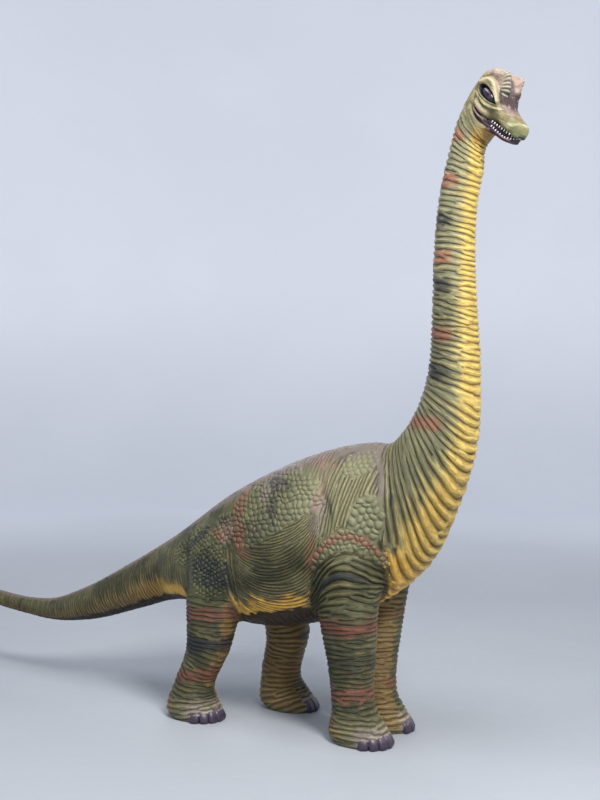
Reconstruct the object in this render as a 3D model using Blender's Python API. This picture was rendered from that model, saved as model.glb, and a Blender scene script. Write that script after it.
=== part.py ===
"""A painted brachiosaur statue in moulded resin, standing, about three metres tall.

The body is divided where a person would name its parts. Metres, +Z up, +X the way the body
faces, +Y its left side, floor at z = 0. The body is a loft through stations of its side outline,
the legs are lofts through level rings, and the joints between parts are thin cuts.
"""

import math

import bmesh
import bpy
import numpy as np
from mathutils import Matrix, Vector

# ---- driving dimensions (metres) ----
FEET_AHEAD = 0.728         # the middle of the feet lies this far ahead of the middle of the length
SEAM = 0.0004              # gap between two parts that meet
BODY_SIDES = 20            # facets round the neck, trunk and tail
BELLY_WEIGHT = 0.10        # how much wider the trunk is low down than high up
LEG_SIDES = 14
LEG_RINGS = 13
LEG_CROWDING = 1.25        # above 1, the rings crowd towards the foot

# Side outline, measured from the middle of the feet: back (x, z), belly (x, z), half width.
TAIL_LINE = (
    (-2.560, 0.560, -2.556, 0.544, 0.008),
    (-2.330, 0.492, -2.318, 0.440, 0.026),
    (-2.030, 0.454, -2.020, 0.372, 0.041),
    (-1.800, 0.436, -1.800, 0.346, 0.046),
    (-1.600, 0.450, -1.585, 0.332, 0.060),
    (-1.410, 0.515, -1.365, 0.355, 0.083),
    (-1.030, 0.702, -0.975, 0.462, 0.124),
    (-0.850, 0.800, -0.780, 0.522, 0.147),
)
TRUNK_LINE = (
    (-0.700, 0.890, -0.660, 0.535, 0.188),
    (-0.560, 0.983, -0.550, 0.515, 0.238),
    (-0.400, 1.090, -0.400, 0.480, 0.290),
    (-0.200, 1.194, -0.200, 0.460, 0.328),
    (0.020, 1.285, 0.020, 0.485, 0.335),
    (0.220, 1.342, 0.230, 0.550, 0.310),
    (0.370, 1.362, 0.430, 0.640, 0.265),
)
NECK_LINE = (
    (0.462, 1.360, 0.630, 0.810, 0.222),
    (0.530, 1.420, 0.765, 1.070, 0.183),
    (0.600, 1.537, 0.857, 1.360, 0.150),
    (0.647, 1.700, 0.877, 1.648, 0.120),
    (0.662, 1.950, 0.864, 1.930, 0.100),
    (0.670, 2.215, 0.853, 2.202, 0.091),
    (0.692, 2.450, 0.863, 2.430, 0.085),
    (0.730, 2.625, 0.889, 2.573, 0.082),
    (0.786, 2.800, 0.902, 2.675, 0.082),
)

# The head, in its own frame: along the muzzle, square to it, half width.
HEAD_AT = (0.830, 2.750)   # x and z of the head frame's origin, on the axis the head turns about
HEAD_PITCH = math.radians(36)
HEAD_TURN = math.radians(12)   # towards the right side of the body
BILL_SQUARENESS = 1.2      # how much squarer than an ellipse the muzzle gets
SKULL_LINE = (
    (-0.078, 0.116, 0.110, 0.022, 0.085),
    (-0.072, 0.200, 0.107, 0.046, 0.088),
    (-0.050, 0.268, 0.100, 0.066, 0.088),
    (0.000, 0.290, 0.100, 0.084, 0.085),
    (0.054, 0.272, 0.115, 0.094, 0.079),
    (0.096, 0.238, 0.137, 0.096, 0.072),
    (0.122, 0.194, 0.160, 0.090, 0.065),
    (0.166, 0.168, 0.188, 0.086, 0.061),
    (0.212, 0.151, 0.218, 0.085, 0.056),
    (0.246, 0.130, 0.243, 0.087, 0.042),
    (0.262, 0.110, 0.260, 0.098, 0.014),
)
JAW_LINE = (
    (0.030, 0.100, 0.050, 0.022, 0.060),
    (0.075, 0.092, 0.085, 0.026, 0.068),
    (0.120, 0.078, 0.122, 0.036, 0.066),
    (0.165, 0.066, 0.160, 0.044, 0.058),
    (0.208, 0.062, 0.204, 0.044, 0.050),
    (0.242, 0.070, 0.245, 0.053, 0.036),
    (0.258, 0.087, 0.261, 0.080, 0.010),
)
GUM_LINE = (
    (0.122, 0.0905, 0.122, 0.050, 0.050),
    (0.160, 0.087, 0.160, 0.050, 0.044),
    (0.208, 0.083, 0.208, 0.050, 0.034),
    (0.236, 0.083, 0.236, 0.058, 0.015),
)
# The lower jaw's cell, whose upper edge runs along the closed lips and through the open mouth.
JAW_CELL = (
    (0.006, 0.116), (0.030, 0.102), (0.066, 0.094), (0.116, 0.0880), (0.150, 0.079),
    (0.190, 0.0745), (0.235, 0.0790), (0.262, 0.0925), (0.320, 0.100),
    (0.320, -0.060), (0.160, -0.020), (0.112, 0.040),
)
CELL_HALF = 0.14           # half width of that cell, which is wider than the head
# Ridges of the head on each side: ends in the head frame as (along, out, up), reach and rise.
HEAD_RIDGES = (
    ((0.016, 0.046, 0.268), (0.066, 0.052, 0.270), 0.022, 0.024),
    ((0.064, 0.050, 0.268), (0.092, 0.045, 0.228), 0.020, 0.016),
    ((-0.012, 0.076, 0.222), (0.086, 0.066, 0.190), 0.017, 0.012),
    ((0.010, 0.085, 0.128), (0.085, 0.080, 0.116), 0.026, 0.005),
)
EYE_AT = (0.048, 0.065, 0.178)   # along, out, up
EYE_HALF = (0.058, 0.030, 0.021)
EYE_SLANT = math.radians(17)

TEETH_A_SIDE = 7
TOOTH_HIGH = 0.013
TOOTH_RADIUS = 0.0028
TOOTH_POINT = 0.4          # a tooth's tip against its root
# Roots of each row of teeth: along, out, up.
UPPER_TEETH = ((0.138, 0.055, 0.110), (0.190, 0.049, 0.104), (0.238, 0.022, 0.101))
LOWER_TEETH = ((0.138, 0.053, 0.062), (0.190, 0.044, 0.057), (0.236, 0.019, 0.063))

# Level rings of every leg: height, half length, half width.
LEG_GIRTH = (
    (0.000, 0.132, 0.100),
    (0.034, 0.150, 0.110),
    (0.080, 0.132, 0.106),
    (0.140, 0.106, 0.098),
    (0.240, 0.100, 0.098),
    (0.340, 0.107, 0.103),
    (0.440, 0.121, 0.110),
    (0.560, 0.136, 0.121),
    (0.680, 0.149, 0.130),
    (0.800, 0.155, 0.132),
    (0.920, 0.130, 0.110),
    (1.000, 0.070, 0.060),
)
# Middle of each leg: height, x, y.
FORE_PATH = ((0.00, 0.358, 0.121), (0.14, 0.325, 0.121), (0.40, 0.312, 0.136),
             (0.68, 0.312, 0.172), (1.00, 0.350, 0.175))
HIND_BACK_PATH = ((0.00, -0.515, 0.176), (0.11, -0.536, 0.176), (0.35, -0.434, 0.192),
                  (0.60, -0.392, 0.200), (0.80, -0.388, 0.170), (1.00, -0.380, 0.085))
HIND_AHEAD_PATH = ((0.00, -0.180, 0.176), (0.13, -0.232, 0.176), (0.40, -0.208, 0.192),
                   (0.62, -0.285, 0.198), (0.80, -0.345, 0.170), (1.00, -0.380, 0.085))
# Leg name, side (+1 left), path, and the middle and half length of the dome that parts it.
LEGS = (
    ("front_right", -1, FORE_PATH, 0.330, 0.195),
    ("front_left", 1, FORE_PATH, 0.330, 0.195),
    ("hind_right", -1, HIND_BACK_PATH, -0.400, 0.200),
    ("hind_left", 1, HIND_AHEAD_PATH, -0.330, 0.255),
)
DOME_OUT = 0.300           # the parting dome's middle, out from the body's middle
DOME_WIDE = 0.288
DOME_FROM = 0.640          # height where the dome starts to close
DOME_RISE = 0.270
DOME_SQUARENESS = 6.0
CELL_ROWS, CELL_SIDES = 6, 16
CELL_OVERLAP = 0.05        # the dome reaches this far down into the box
CELL_UNDER_FLOOR = 0.1
UNDER_BELLY = 0.440        # below this all is leg
LEG_ROOM = (0.66, 0.58)    # length and width of the space of one leg below the belly

NAILS_A_FOOT = 5
NAIL_SPREAD = math.radians(20)
NAIL_TURN = math.radians(25)     # the middle nail's bearing, outward from straight ahead
NAIL_HALF = (0.024, 0.0145, 0.026)
NAIL_HEIGHT = 0.031
NAIL_INSET = 0.011

# ---- paints: colour, roughness ----
PAINTS = {
    "green": ((0.20, 0.23, 0.11), 0.45),
    "mauve": ((0.22, 0.18, 0.15), 0.45),
    "ochre": ((0.45, 0.32, 0.08), 0.45),
    "plum": ((0.05, 0.03, 0.05), 0.35),
    "eye": ((0.01, 0.01, 0.02), 0.08),
    "nail": ((0.10, 0.06, 0.09), 0.35),
}


def paint(name):
    """The named paint as a Principled material, made once."""
    if name in bpy.data.materials:
        return bpy.data.materials[name]
    colour, roughness = PAINTS[name]
    material = bpy.data.materials.new(name)
    material.use_nodes = True
    shader = material.node_tree.nodes["Principled BSDF"]
    shader.inputs["Base Color"].default_value = (*colour, 1.0)
    shader.inputs["Roughness"].default_value = roughness
    return material


# ---- curves ----
def smooth_rows(rows, places, lengths):
    """Cubic curve through rows of numbers at these lengths, read at places on the same scale."""
    rows, lengths = np.asarray(rows, float), np.asarray(lengths, float)
    slopes = np.gradient(rows, lengths, axis=0)
    places = np.atleast_1d(places)
    low = np.clip(np.searchsorted(lengths, places, side="right") - 1, 0, len(lengths) - 2)
    span = (lengths[low + 1] - lengths[low])[:, None]
    t = ((places - lengths[low])[:, None]) / span
    ends = rows[low] * (1 + 2 * t) * (1 - t) ** 2 + rows[low + 1] * t * t * (3 - 2 * t)
    return ends + span * (slopes[low] * t * (1 - t) ** 2 + slopes[low + 1] * t * t * (t - 1))


def head_plane(line):
    """Rows given in the head's frame, as rows of the side outline."""
    cos, sin = math.cos(HEAD_PITCH), math.sin(HEAD_PITCH)
    rows = []
    for top_u, top_w, low_u, low_w, half in line:
        pair = [(HEAD_AT[0] + u * cos + w * sin, HEAD_AT[1] - u * sin + w * cos)
                for u, w in ((top_u, top_w), (low_u, low_w))]
        rows.append((*pair[0], *pair[1], half))
    return tuple(rows)


def head_point(along, out, up):
    """A point of the head's frame in the world."""
    cos, sin = math.cos(HEAD_PITCH), math.sin(HEAD_PITCH)
    reach = along * cos + up * sin
    return Vector((
        FEET_AHEAD + HEAD_AT[0] + reach * math.cos(HEAD_TURN) + out * math.sin(HEAD_TURN),
        -reach * math.sin(HEAD_TURN) + out * math.cos(HEAD_TURN),
        HEAD_AT[1] - along * sin + up * cos,
    ))


SPINE = TAIL_LINE + TRUNK_LINE + NECK_LINE + head_plane(SKULL_LINE)
TRUNK_START = len(TAIL_LINE)
NECK_START = TRUNK_START + len(TRUNK_LINE)
SKULL_START = NECK_START + len(NECK_LINE)


def row_lengths(rows):
    """Length along the middle of the rows, at each row."""
    rows = np.asarray(rows)
    middle = (rows[:, 0:2] + rows[:, 2:4]) / 2
    return np.concatenate([[0], np.cumsum(np.linalg.norm(np.diff(middle, axis=0), axis=1))])


SPINE_LENGTHS = row_lengths(SPINE)
TURN_FROM, TURN_TO = SPINE_LENGTHS[SKULL_START - 2], SPINE_LENGTHS[SKULL_START]


def rounded(angle, squareness):
    """Cosine and sine of an ellipse that squareness above 2 fills out towards its box."""
    cos, sin, power = np.cos(angle), np.sin(angle), 2 / squareness
    return np.sign(cos) * np.abs(cos) ** power, np.sign(sin) * np.abs(sin) ** power


def rings_of(rows, turn, sides, squareness=2.0, belly_weight=0.0):
    """Closed rings of points: each spans its back and belly points, and turns about the neck."""
    angle = np.arange(sides)[None, :] * 2 * math.pi / sides
    rows = np.asarray(rows)
    squareness = np.broadcast_to(squareness, len(rows))[:, None]
    deep, wide = rounded(angle, squareness)
    wide = wide * (1 - belly_weight * np.cos(angle))
    middle, reach = (rows[:, 0:2] + rows[:, 2:4]) / 2, (rows[:, 0:2] - rows[:, 2:4]) / 2
    plane = middle[:, None, :] + deep[..., None] * reach[:, None, :]
    out = wide * rows[:, 4][:, None]
    ahead = plane[..., 0] - HEAD_AT[0]
    turn = np.broadcast_to(np.atleast_1d(turn)[:, None], ahead.shape)
    return np.stack([
        FEET_AHEAD + HEAD_AT[0] + ahead * np.cos(turn) + out * np.sin(turn),
        -ahead * np.sin(turn) + out * np.cos(turn),
        plane[..., 1],
    ], axis=-1)


def eased(t):
    """From 0 to 1, starting and ending gently."""
    t = np.clip(t, 0, 1)
    return t * t * (3 - 2 * t)


def spine_rings(start, end, count, belly_weight=0.0):
    """Rings of the body from one length of the spine to another."""
    places = np.linspace(start, end, count)
    rows = smooth_rows(SPINE, places, SPINE_LENGTHS)
    turned = eased((places - TURN_FROM) / (TURN_TO - TURN_FROM))
    billed = eased((places - TURN_TO) / (SPINE_LENGTHS[-1] - TURN_TO))
    return rings_of(rows, HEAD_TURN * turned, BODY_SIDES, 2 + BILL_SQUARENESS * billed, belly_weight)


# ---- solids ----
def new_object(name, mesh, colour):
    """An object of this mesh in the scene, painted, with round shading between its creases."""
    obj = bpy.data.objects.new(name, mesh)
    bpy.context.scene.collection.objects.link(obj)
    mesh.materials.append(paint(colour))
    mesh.shade_smooth()
    mesh.set_sharp_from_angle(angle=math.radians(50))
    return obj


def loft(name, rings, colour):
    """A closed solid through rings of equal count, with a flat face on its first and last."""
    count, sides = rings.shape[:2]
    faces = [
        (i * sides + j, i * sides + (j + 1) % sides,
         (i + 1) * sides + (j + 1) % sides, (i + 1) * sides + j)
        for i in range(count - 1)
        for j in range(sides)
    ]
    faces += [tuple(range(sides)), tuple(range((count - 1) * sides, count * sides))]
    mesh = bpy.data.meshes.new(name)
    mesh.from_pydata(rings.reshape(-1, 3).tolist(), [], faces)
    shape = bmesh.new()
    shape.from_mesh(mesh)
    bmesh.ops.recalc_face_normals(shape, faces=shape.faces)
    shape.to_mesh(mesh)
    shape.free()
    return new_object(name, mesh, colour)


def ball(name, middle, half, turn, colour, rounds=14, steps=9):
    """An ellipsoid with these half lengths, turned by a matrix."""
    mesh = bpy.data.meshes.new(name)
    shape = bmesh.new()
    matrix = Matrix.Translation(middle) @ turn.to_4x4() @ Matrix.Diagonal((*half, 1))
    bmesh.ops.create_uvsphere(shape, u_segments=rounds, v_segments=steps, radius=1, matrix=matrix)
    shape.to_mesh(mesh)
    shape.free()
    return new_object(name, mesh, colour)


def combine(target, tool, operation):
    """Joins, cuts or keeps the common part of target with tool, and removes tool."""
    modifier = target.modifiers.new(operation.lower(), "BOOLEAN")
    modifier.operation = operation
    modifier.object = tool
    modifier.solver = "EXACT"
    graph = bpy.context.evaluated_depsgraph_get()
    graph.update()
    mesh = bpy.data.meshes.new_from_object(target.evaluated_get(graph), depsgraph=graph)
    target.modifiers.clear()
    target.data = mesh
    bpy.data.objects.remove(tool)


def copy_of(obj, name):
    """A second object with a mesh of its own."""
    twin = bpy.data.objects.new(name, obj.data.copy())
    bpy.context.scene.collection.objects.link(twin)
    return twin


def grown_outline(outline, by):
    """A clockwise outline with every edge moved outward by the same distance."""
    corners = np.asarray(outline)
    edges = np.roll(corners, -1, axis=0) - corners
    outward = np.stack([-edges[:, 1], edges[:, 0]], axis=1)
    outward /= np.linalg.norm(outward, axis=1, keepdims=True)
    before = np.roll(outward, 1, axis=0)
    mitre = (outward + before) / (1 + (outward * before).sum(axis=1, keepdims=True))
    return corners + by * mitre


def prism(name, outline):
    """A solid of one outline in the head's frame, run from side to side of the head."""
    mesh = bpy.data.meshes.new(name)
    count = len(outline)
    points = [head_point(u, out, w) for out in (-CELL_HALF, CELL_HALF) for u, w in outline]
    faces = [(i, (i + 1) % count, count + (i + 1) % count, count + i) for i in range(count)]
    faces += [tuple(range(count)), tuple(range(count, 2 * count))]
    mesh.from_pydata(points, [], faces)
    shape = bmesh.new()
    shape.from_mesh(mesh)
    bmesh.ops.recalc_face_normals(shape, faces=shape.faces)
    shape.to_mesh(mesh)
    shape.free()
    return new_object(name, mesh, "plum")


# ---- neck and tail ----
def spine_part(name, first, last, count, colour):
    """The stretch of the body between two stations, short of each by half a seam."""
    start, end = SPINE_LENGTHS[first] + SEAM, SPINE_LENGTHS[last] - SEAM
    return loft(name, spine_rings(start, end, count), colour)


def make_neck_and_tail():
    """The three lengths of the neck and the three of the tail."""
    spine_part("tail_tip", 0, 3, 8, "mauve")
    spine_part("tail_middle", 3, 5, 6, "green")
    spine_part("tail_base", 5, TRUNK_START, 8, "green")
    spine_part("neck_lower", NECK_START, NECK_START + 3, 10, "ochre")
    spine_part("neck_middle", NECK_START + 3, NECK_START + 5, 6, "green")
    spine_part("neck_upper", NECK_START + 5, SKULL_START - 1, 8, "green")


# ---- legs and trunk ----
def leg_rings(side, path):
    """Level rings of a leg, from its flat sole up into the trunk, closer together at the foot."""
    girth, path = np.asarray(LEG_GIRTH), np.asarray(path)
    top = girth[-1, 0]
    heights = top * np.linspace(0, 1, LEG_RINGS) ** LEG_CROWDING
    size = smooth_rows(girth, heights, girth[:, 0])
    middle = smooth_rows(path, heights, path[:, 0])
    angle = np.arange(LEG_SIDES) * 2 * math.pi / LEG_SIDES
    return np.stack([
        FEET_AHEAD + middle[:, 1:2] + size[:, 1:2] * np.cos(angle),
        side * middle[:, 2:3] + size[:, 2:3] * np.sin(angle),
        np.broadcast_to(heights[:, None], (LEG_RINGS, LEG_SIDES)),
    ], axis=-1)


def leg_cell(name, side, middle, half, grow):
    """The space that holds one leg: a dome into the flank, on a box below the belly."""
    lift = np.linspace(0, math.pi / 2, CELL_ROWS)[:-1]
    length, width = rounded(np.arange(CELL_SIDES) * 2 * math.pi / CELL_SIDES, DOME_SQUARENESS)
    shrink = np.concatenate([[1.0], np.cos(lift)])
    foot = UNDER_BELLY - CELL_OVERLAP
    level = np.concatenate([[foot], DOME_FROM + (DOME_RISE + grow) * np.sin(lift)])
    rings = np.stack([
        FEET_AHEAD + middle + (half + grow) * shrink[:, None] * length,
        side * DOME_OUT + (DOME_WIDE + grow) * shrink[:, None] * width,
        np.broadcast_to(level[:, None], (CELL_ROWS, CELL_SIDES)),
    ], axis=-1)
    dome = loft(name, rings, "plum")
    below = bpy.data.meshes.new("below")
    shape = bmesh.new()
    size = (*LEG_ROOM, UNDER_BELLY + grow + CELL_UNDER_FLOOR)
    place = (FEET_AHEAD + middle, side * DOME_OUT, (UNDER_BELLY + grow - CELL_UNDER_FLOOR) / 2)
    bmesh.ops.create_cube(shape, size=1,
                          matrix=Matrix.Translation(place) @ Matrix.Diagonal((*size, 1)))
    shape.to_mesh(below)
    shape.free()
    combine(dome, new_object("below", below, "plum"), "UNION")
    return dome


def make_trunk_and_legs():
    """The trunk and legs as one joined solid, then each leg parted from it along a dome."""
    whole = loft("trunk", spine_rings(SPINE_LENGTHS[TRUNK_START] + SEAM,
                                      SPINE_LENGTHS[NECK_START] - SEAM, 16, BELLY_WEIGHT), "green")
    for _, side, path, _, _ in LEGS:
        combine(whole, loft("leg", leg_rings(side, path), "green"), "UNION")
    for name, side, path, middle, half in LEGS:
        leg = copy_of(whole, "leg_" + name)
        combine(leg, leg_cell("cell", side, middle, half, 0.0), "INTERSECT")
        make_nails(leg, name, side, path)
    for _, side, _, middle, half in LEGS:
        combine(whole, leg_cell("cell", side, middle, half, SEAM), "DIFFERENCE")


def make_nails(leg, name, side, path):
    """The toenails round the front of a foot, each in a hollow that clears it by a seam."""
    girth = smooth_rows(LEG_GIRTH, NAIL_HEIGHT, [row[0] for row in LEG_GIRTH])[0]
    for count in range(NAILS_A_FOOT):
        bearing = side * (NAIL_TURN + (count - (NAILS_A_FOOT - 1) / 2) * NAIL_SPREAD)
        middle = Vector((
            FEET_AHEAD + path[0][1] + (girth[1] - NAIL_INSET) * math.cos(bearing),
            side * path[0][2] + (girth[2] - NAIL_INSET) * math.sin(bearing),
            NAIL_HEIGHT,
        ))
        turn = Matrix.Rotation(bearing, 3, "Z")
        grown = tuple(half + SEAM for half in NAIL_HALF)
        combine(leg, ball("hollow", middle, grown, turn, "plum", 8, 4), "DIFFERENCE")
        ball(f"nail_{name}_{count + 1}", middle, NAIL_HALF, turn, "nail", 8, 4)


# ---- head ----
def ridged(rings):
    """The skull's rings with its ridges raised, outward from the middle of each ring."""
    middle = rings.mean(axis=1, keepdims=True)
    outward = rings - middle
    outward /= np.linalg.norm(outward, axis=2, keepdims=True)
    rise = np.zeros(rings.shape[:2])
    for start, end, reach, height in HEAD_RIDGES:
        for side in (-1, 1):
            a, b = (np.array(head_point(u, side * v, w)) for u, v, w in (start, end))
            t = np.clip(((rings - a) @ (b - a)) / ((b - a) @ (b - a)), 0, 1)
            away = np.linalg.norm(rings - (a + t[..., None] * (b - a)), axis=2)
            rise += height * np.exp(-((away / reach) ** 2))
    return rings + outward * rise[..., None]


def teeth(target, row, points_up):
    """Joins both sides of a row of small teeth to the head or the jaw."""
    row = np.asarray(row)
    lengths = np.concatenate([[0], np.cumsum(np.linalg.norm(np.diff(row, axis=0), axis=1))])
    places = smooth_rows(row, np.linspace(0, lengths[-1], TEETH_A_SIDE), lengths)
    up = head_point(0, 0, 1) - head_point(0, 0, 0)
    for side in (-1, 1):
        for along, out, level in places:
            root = head_point(along, side * out, level)
            mesh = bpy.data.meshes.new("tooth")
            shape = bmesh.new()
            stand = up if points_up else -up
            middle = Matrix.Translation(root + stand * TOOTH_HIGH / 2)
            matrix = middle @ stand.to_track_quat("Z", "Y").to_matrix().to_4x4()
            bmesh.ops.create_cone(shape, cap_ends=True, segments=4, radius1=TOOTH_RADIUS,
                                  radius2=TOOTH_RADIUS * TOOTH_POINT, depth=TOOTH_HIGH, matrix=matrix)
            shape.to_mesh(mesh)
            shape.free()
            combine(target, new_object("tooth", mesh, "ochre"), "UNION")


def head_loft(name, line, count, sides):
    """A closed solid through rows given in the head's frame, squarer than an ellipse."""
    rows = head_plane(line)
    lengths = row_lengths(rows)
    rows = smooth_rows(rows, np.linspace(0, lengths[-1], count), lengths)
    return loft(name, rings_of(rows, HEAD_TURN, sides, 2 + BILL_SQUARENESS), "plum")


def make_head():
    """The head, the lower jaw parted from it along the lips, the teeth and the eyes."""
    start = SPINE_LENGTHS[SKULL_START - 1] + SEAM
    head = loft("head", ridged(spine_rings(start, SPINE_LENGTHS[-1], 23)), "mauve")
    combine(head, head_loft("jaw", JAW_LINE, 9, 14), "UNION")

    jaw = copy_of(head, "jaw_lower")
    combine(jaw, prism("cell", JAW_CELL), "INTERSECT")
    combine(head, prism("cell", grown_outline(JAW_CELL, SEAM)), "DIFFERENCE")
    combine(jaw, head_loft("gum", GUM_LINE, 5, 12), "UNION")
    teeth(head, UPPER_TEETH, False)
    teeth(jaw, LOWER_TEETH, True)
    frame = Matrix([head_point(*axis) - head_point(0, 0, 0)
                    for axis in ((1, 0, 0), (0, 1, 0), (0, 0, 1))]).transposed()
    for name, side in (("right", -1), ("left", 1)):
        middle = head_point(EYE_AT[0], side * EYE_AT[1], EYE_AT[2])
        turn = frame @ Matrix.Rotation(EYE_SLANT, 3, "Y")
        grown = tuple(half + SEAM for half in EYE_HALF)
        combine(head, ball("socket", middle, grown, turn, "plum", 12, 8), "DIFFERENCE")
        ball("eye_" + name, middle, EYE_HALF, turn, "eye", 12, 8)


def main():
    for obj in list(bpy.data.objects):
        bpy.data.objects.remove(obj)
    make_neck_and_tail()
    make_trunk_and_legs()
    make_head()


main()
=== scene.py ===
"""The looks of a painted resin brachiosaur statue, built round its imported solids.

Metres, +Z up, +X the way the body faces, +Y its left side. One skin covers the whole body. Its
base is swept through the same stations as the solids and closed into one mesh. Folds, rings and
the relief of the head then move its points along their normals, and the same formulas give the
masks that the paint reads.
"""

import math

import bmesh
import bpy
import numpy as np
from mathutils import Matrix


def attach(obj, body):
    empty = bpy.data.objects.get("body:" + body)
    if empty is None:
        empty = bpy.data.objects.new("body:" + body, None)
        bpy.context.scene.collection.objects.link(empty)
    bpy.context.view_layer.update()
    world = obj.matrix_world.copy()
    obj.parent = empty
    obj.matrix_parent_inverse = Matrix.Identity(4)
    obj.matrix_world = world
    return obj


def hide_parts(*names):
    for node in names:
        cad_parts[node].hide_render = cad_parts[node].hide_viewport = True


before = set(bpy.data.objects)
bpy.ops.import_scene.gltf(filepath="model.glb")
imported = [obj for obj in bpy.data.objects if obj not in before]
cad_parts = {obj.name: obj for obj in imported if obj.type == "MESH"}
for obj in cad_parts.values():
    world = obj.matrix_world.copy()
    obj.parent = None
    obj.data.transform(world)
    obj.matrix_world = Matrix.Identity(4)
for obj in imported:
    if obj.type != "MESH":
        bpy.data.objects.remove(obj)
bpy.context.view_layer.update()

# ---- the body's stations, as the solids have them (metres) ----
FEET_AHEAD = 0.728         # the middle of the feet lies this far ahead of the middle of the length
BELLY_WEIGHT = 0.10
# Side outline, measured from the middle of the feet: back (x, z), belly (x, z), half width.
TAIL_LINE = (
    (-2.560, 0.560, -2.556, 0.544, 0.008),
    (-2.330, 0.492, -2.318, 0.440, 0.026),
    (-2.030, 0.454, -2.020, 0.372, 0.041),
    (-1.800, 0.436, -1.800, 0.346, 0.046),
    (-1.600, 0.450, -1.585, 0.332, 0.060),
    (-1.410, 0.515, -1.365, 0.355, 0.083),
    (-1.030, 0.702, -0.975, 0.462, 0.124),
    (-0.850, 0.800, -0.780, 0.522, 0.147),
)
TRUNK_LINE = (
    (-0.700, 0.890, -0.660, 0.535, 0.188),
    (-0.560, 0.983, -0.550, 0.515, 0.238),
    (-0.400, 1.090, -0.400, 0.480, 0.290),
    (-0.200, 1.194, -0.200, 0.460, 0.328),
    (0.020, 1.285, 0.020, 0.485, 0.335),
    (0.220, 1.342, 0.230, 0.550, 0.310),
    (0.370, 1.362, 0.430, 0.640, 0.265),
)
NECK_LINE = (
    (0.462, 1.360, 0.630, 0.810, 0.222),
    (0.530, 1.420, 0.765, 1.070, 0.183),
    (0.600, 1.537, 0.857, 1.360, 0.150),
    (0.647, 1.700, 0.877, 1.648, 0.120),
    (0.662, 1.950, 0.864, 1.930, 0.100),
    (0.670, 2.215, 0.853, 2.202, 0.091),
    (0.692, 2.450, 0.863, 2.430, 0.085),
    (0.730, 2.625, 0.889, 2.573, 0.082),
    (0.786, 2.800, 0.902, 2.675, 0.082),
)
# The head, in its own frame: along the muzzle, square to it, half width.
HEAD_AT = (0.830, 2.750)   # x and z of the head frame's origin, on the axis the head turns about
HEAD_PITCH = math.radians(36)
HEAD_TURN = math.radians(12)
BILL_SQUARENESS = 1.2
SKULL_LINE = (
    (-0.078, 0.116, 0.110, 0.022, 0.085),
    (-0.072, 0.200, 0.107, 0.046, 0.088),
    (-0.050, 0.268, 0.100, 0.066, 0.088),
    (0.000, 0.290, 0.100, 0.084, 0.085),
    (0.054, 0.272, 0.115, 0.094, 0.079),
    (0.096, 0.238, 0.137, 0.096, 0.072),
    (0.122, 0.194, 0.160, 0.090, 0.065),
    (0.166, 0.168, 0.188, 0.086, 0.061),
    (0.212, 0.151, 0.218, 0.085, 0.056),
    (0.246, 0.130, 0.243, 0.087, 0.042),
    (0.262, 0.110, 0.260, 0.098, 0.014),
)
JAW_LINE = (
    (0.030, 0.100, 0.050, 0.026, 0.056),
    (0.075, 0.092, 0.085, 0.034, 0.061),
    (0.120, 0.078, 0.122, 0.045, 0.060),
    (0.165, 0.066, 0.160, 0.048, 0.056),
    (0.206, 0.062, 0.197, 0.045, 0.048),
    (0.236, 0.076, 0.227, 0.056, 0.032),
    (0.252, 0.098, 0.247, 0.090, 0.009),
)
# Level rings of every leg: height, half length, half width.
LEG_GIRTH = (
    (0.000, 0.132, 0.100),
    (0.034, 0.150, 0.110),
    (0.080, 0.132, 0.106),
    (0.140, 0.106, 0.098),
    (0.240, 0.100, 0.098),
    (0.340, 0.107, 0.103),
    (0.440, 0.121, 0.110),
    (0.560, 0.136, 0.121),
    (0.680, 0.149, 0.130),
    (0.800, 0.155, 0.132),
    (0.920, 0.130, 0.110),
    (1.000, 0.070, 0.060),
)
# Middle of each leg: height, x, y.
FORE_PATH = ((0.00, 0.358, 0.121), (0.14, 0.325, 0.121), (0.40, 0.312, 0.136),
             (0.68, 0.312, 0.172), (1.00, 0.350, 0.175))
HIND_BACK_PATH = ((0.00, -0.515, 0.176), (0.11, -0.536, 0.176), (0.35, -0.434, 0.192),
                  (0.60, -0.392, 0.200), (0.80, -0.388, 0.170), (1.00, -0.380, 0.085))
HIND_AHEAD_PATH = ((0.00, -0.180, 0.176), (0.13, -0.232, 0.176), (0.40, -0.208, 0.192),
                   (0.62, -0.285, 0.198), (0.80, -0.345, 0.170), (1.00, -0.380, 0.085))
LEGS = (
    ("front_right", -1, FORE_PATH),
    ("front_left", 1, FORE_PATH),
    ("hind_right", -1, HIND_BACK_PATH),
    ("hind_left", 1, HIND_AHEAD_PATH),
)

# ---- how finely the skin is made ----
# Rings along each sweep and points round a ring, the even mesh's step, and how many triangles
# of it are kept.
SPINE_GRID, JAW_GRID, LEG_GRID, LINING_GRID = (900, 160), (120, 80), (220, 110), (40, 32)
VOXEL = 0.0042
SKIN_TRIANGLES = 190_000


# ---- numbers along a line ----
def unit(values):
    """The values, kept from 0 to 1."""
    return np.clip(values, 0, 1)


def greatest(*values):
    """The greatest of several values at each point."""
    return np.max(values, axis=0)


def eased(t):
    """From 0 to 1 as t does, starting and ending gently."""
    t = unit(t)
    return t * t * (3 - 2 * t)


def smooth_rows(rows, places, lengths):
    """Cubic curve through rows of numbers at these lengths, read at places on the same scale."""
    rows, lengths = np.asarray(rows, float), np.asarray(lengths, float)
    slopes = np.gradient(rows, lengths, axis=0)
    places = np.clip(np.atleast_1d(places), lengths[0], lengths[-1])
    low = np.clip(np.searchsorted(lengths, places, side="right") - 1, 0, len(lengths) - 2)
    span = (lengths[low + 1] - lengths[low])[:, None]
    t = (places - lengths[low])[:, None] / span
    ends = rows[low] * (1 + 2 * t) * (1 - t) ** 2 + rows[low + 1] * t * t * (3 - 2 * t)
    return ends + span * (slopes[low] * t * (1 - t) ** 2 + slopes[low + 1] * t * t * (t - 1))


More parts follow.
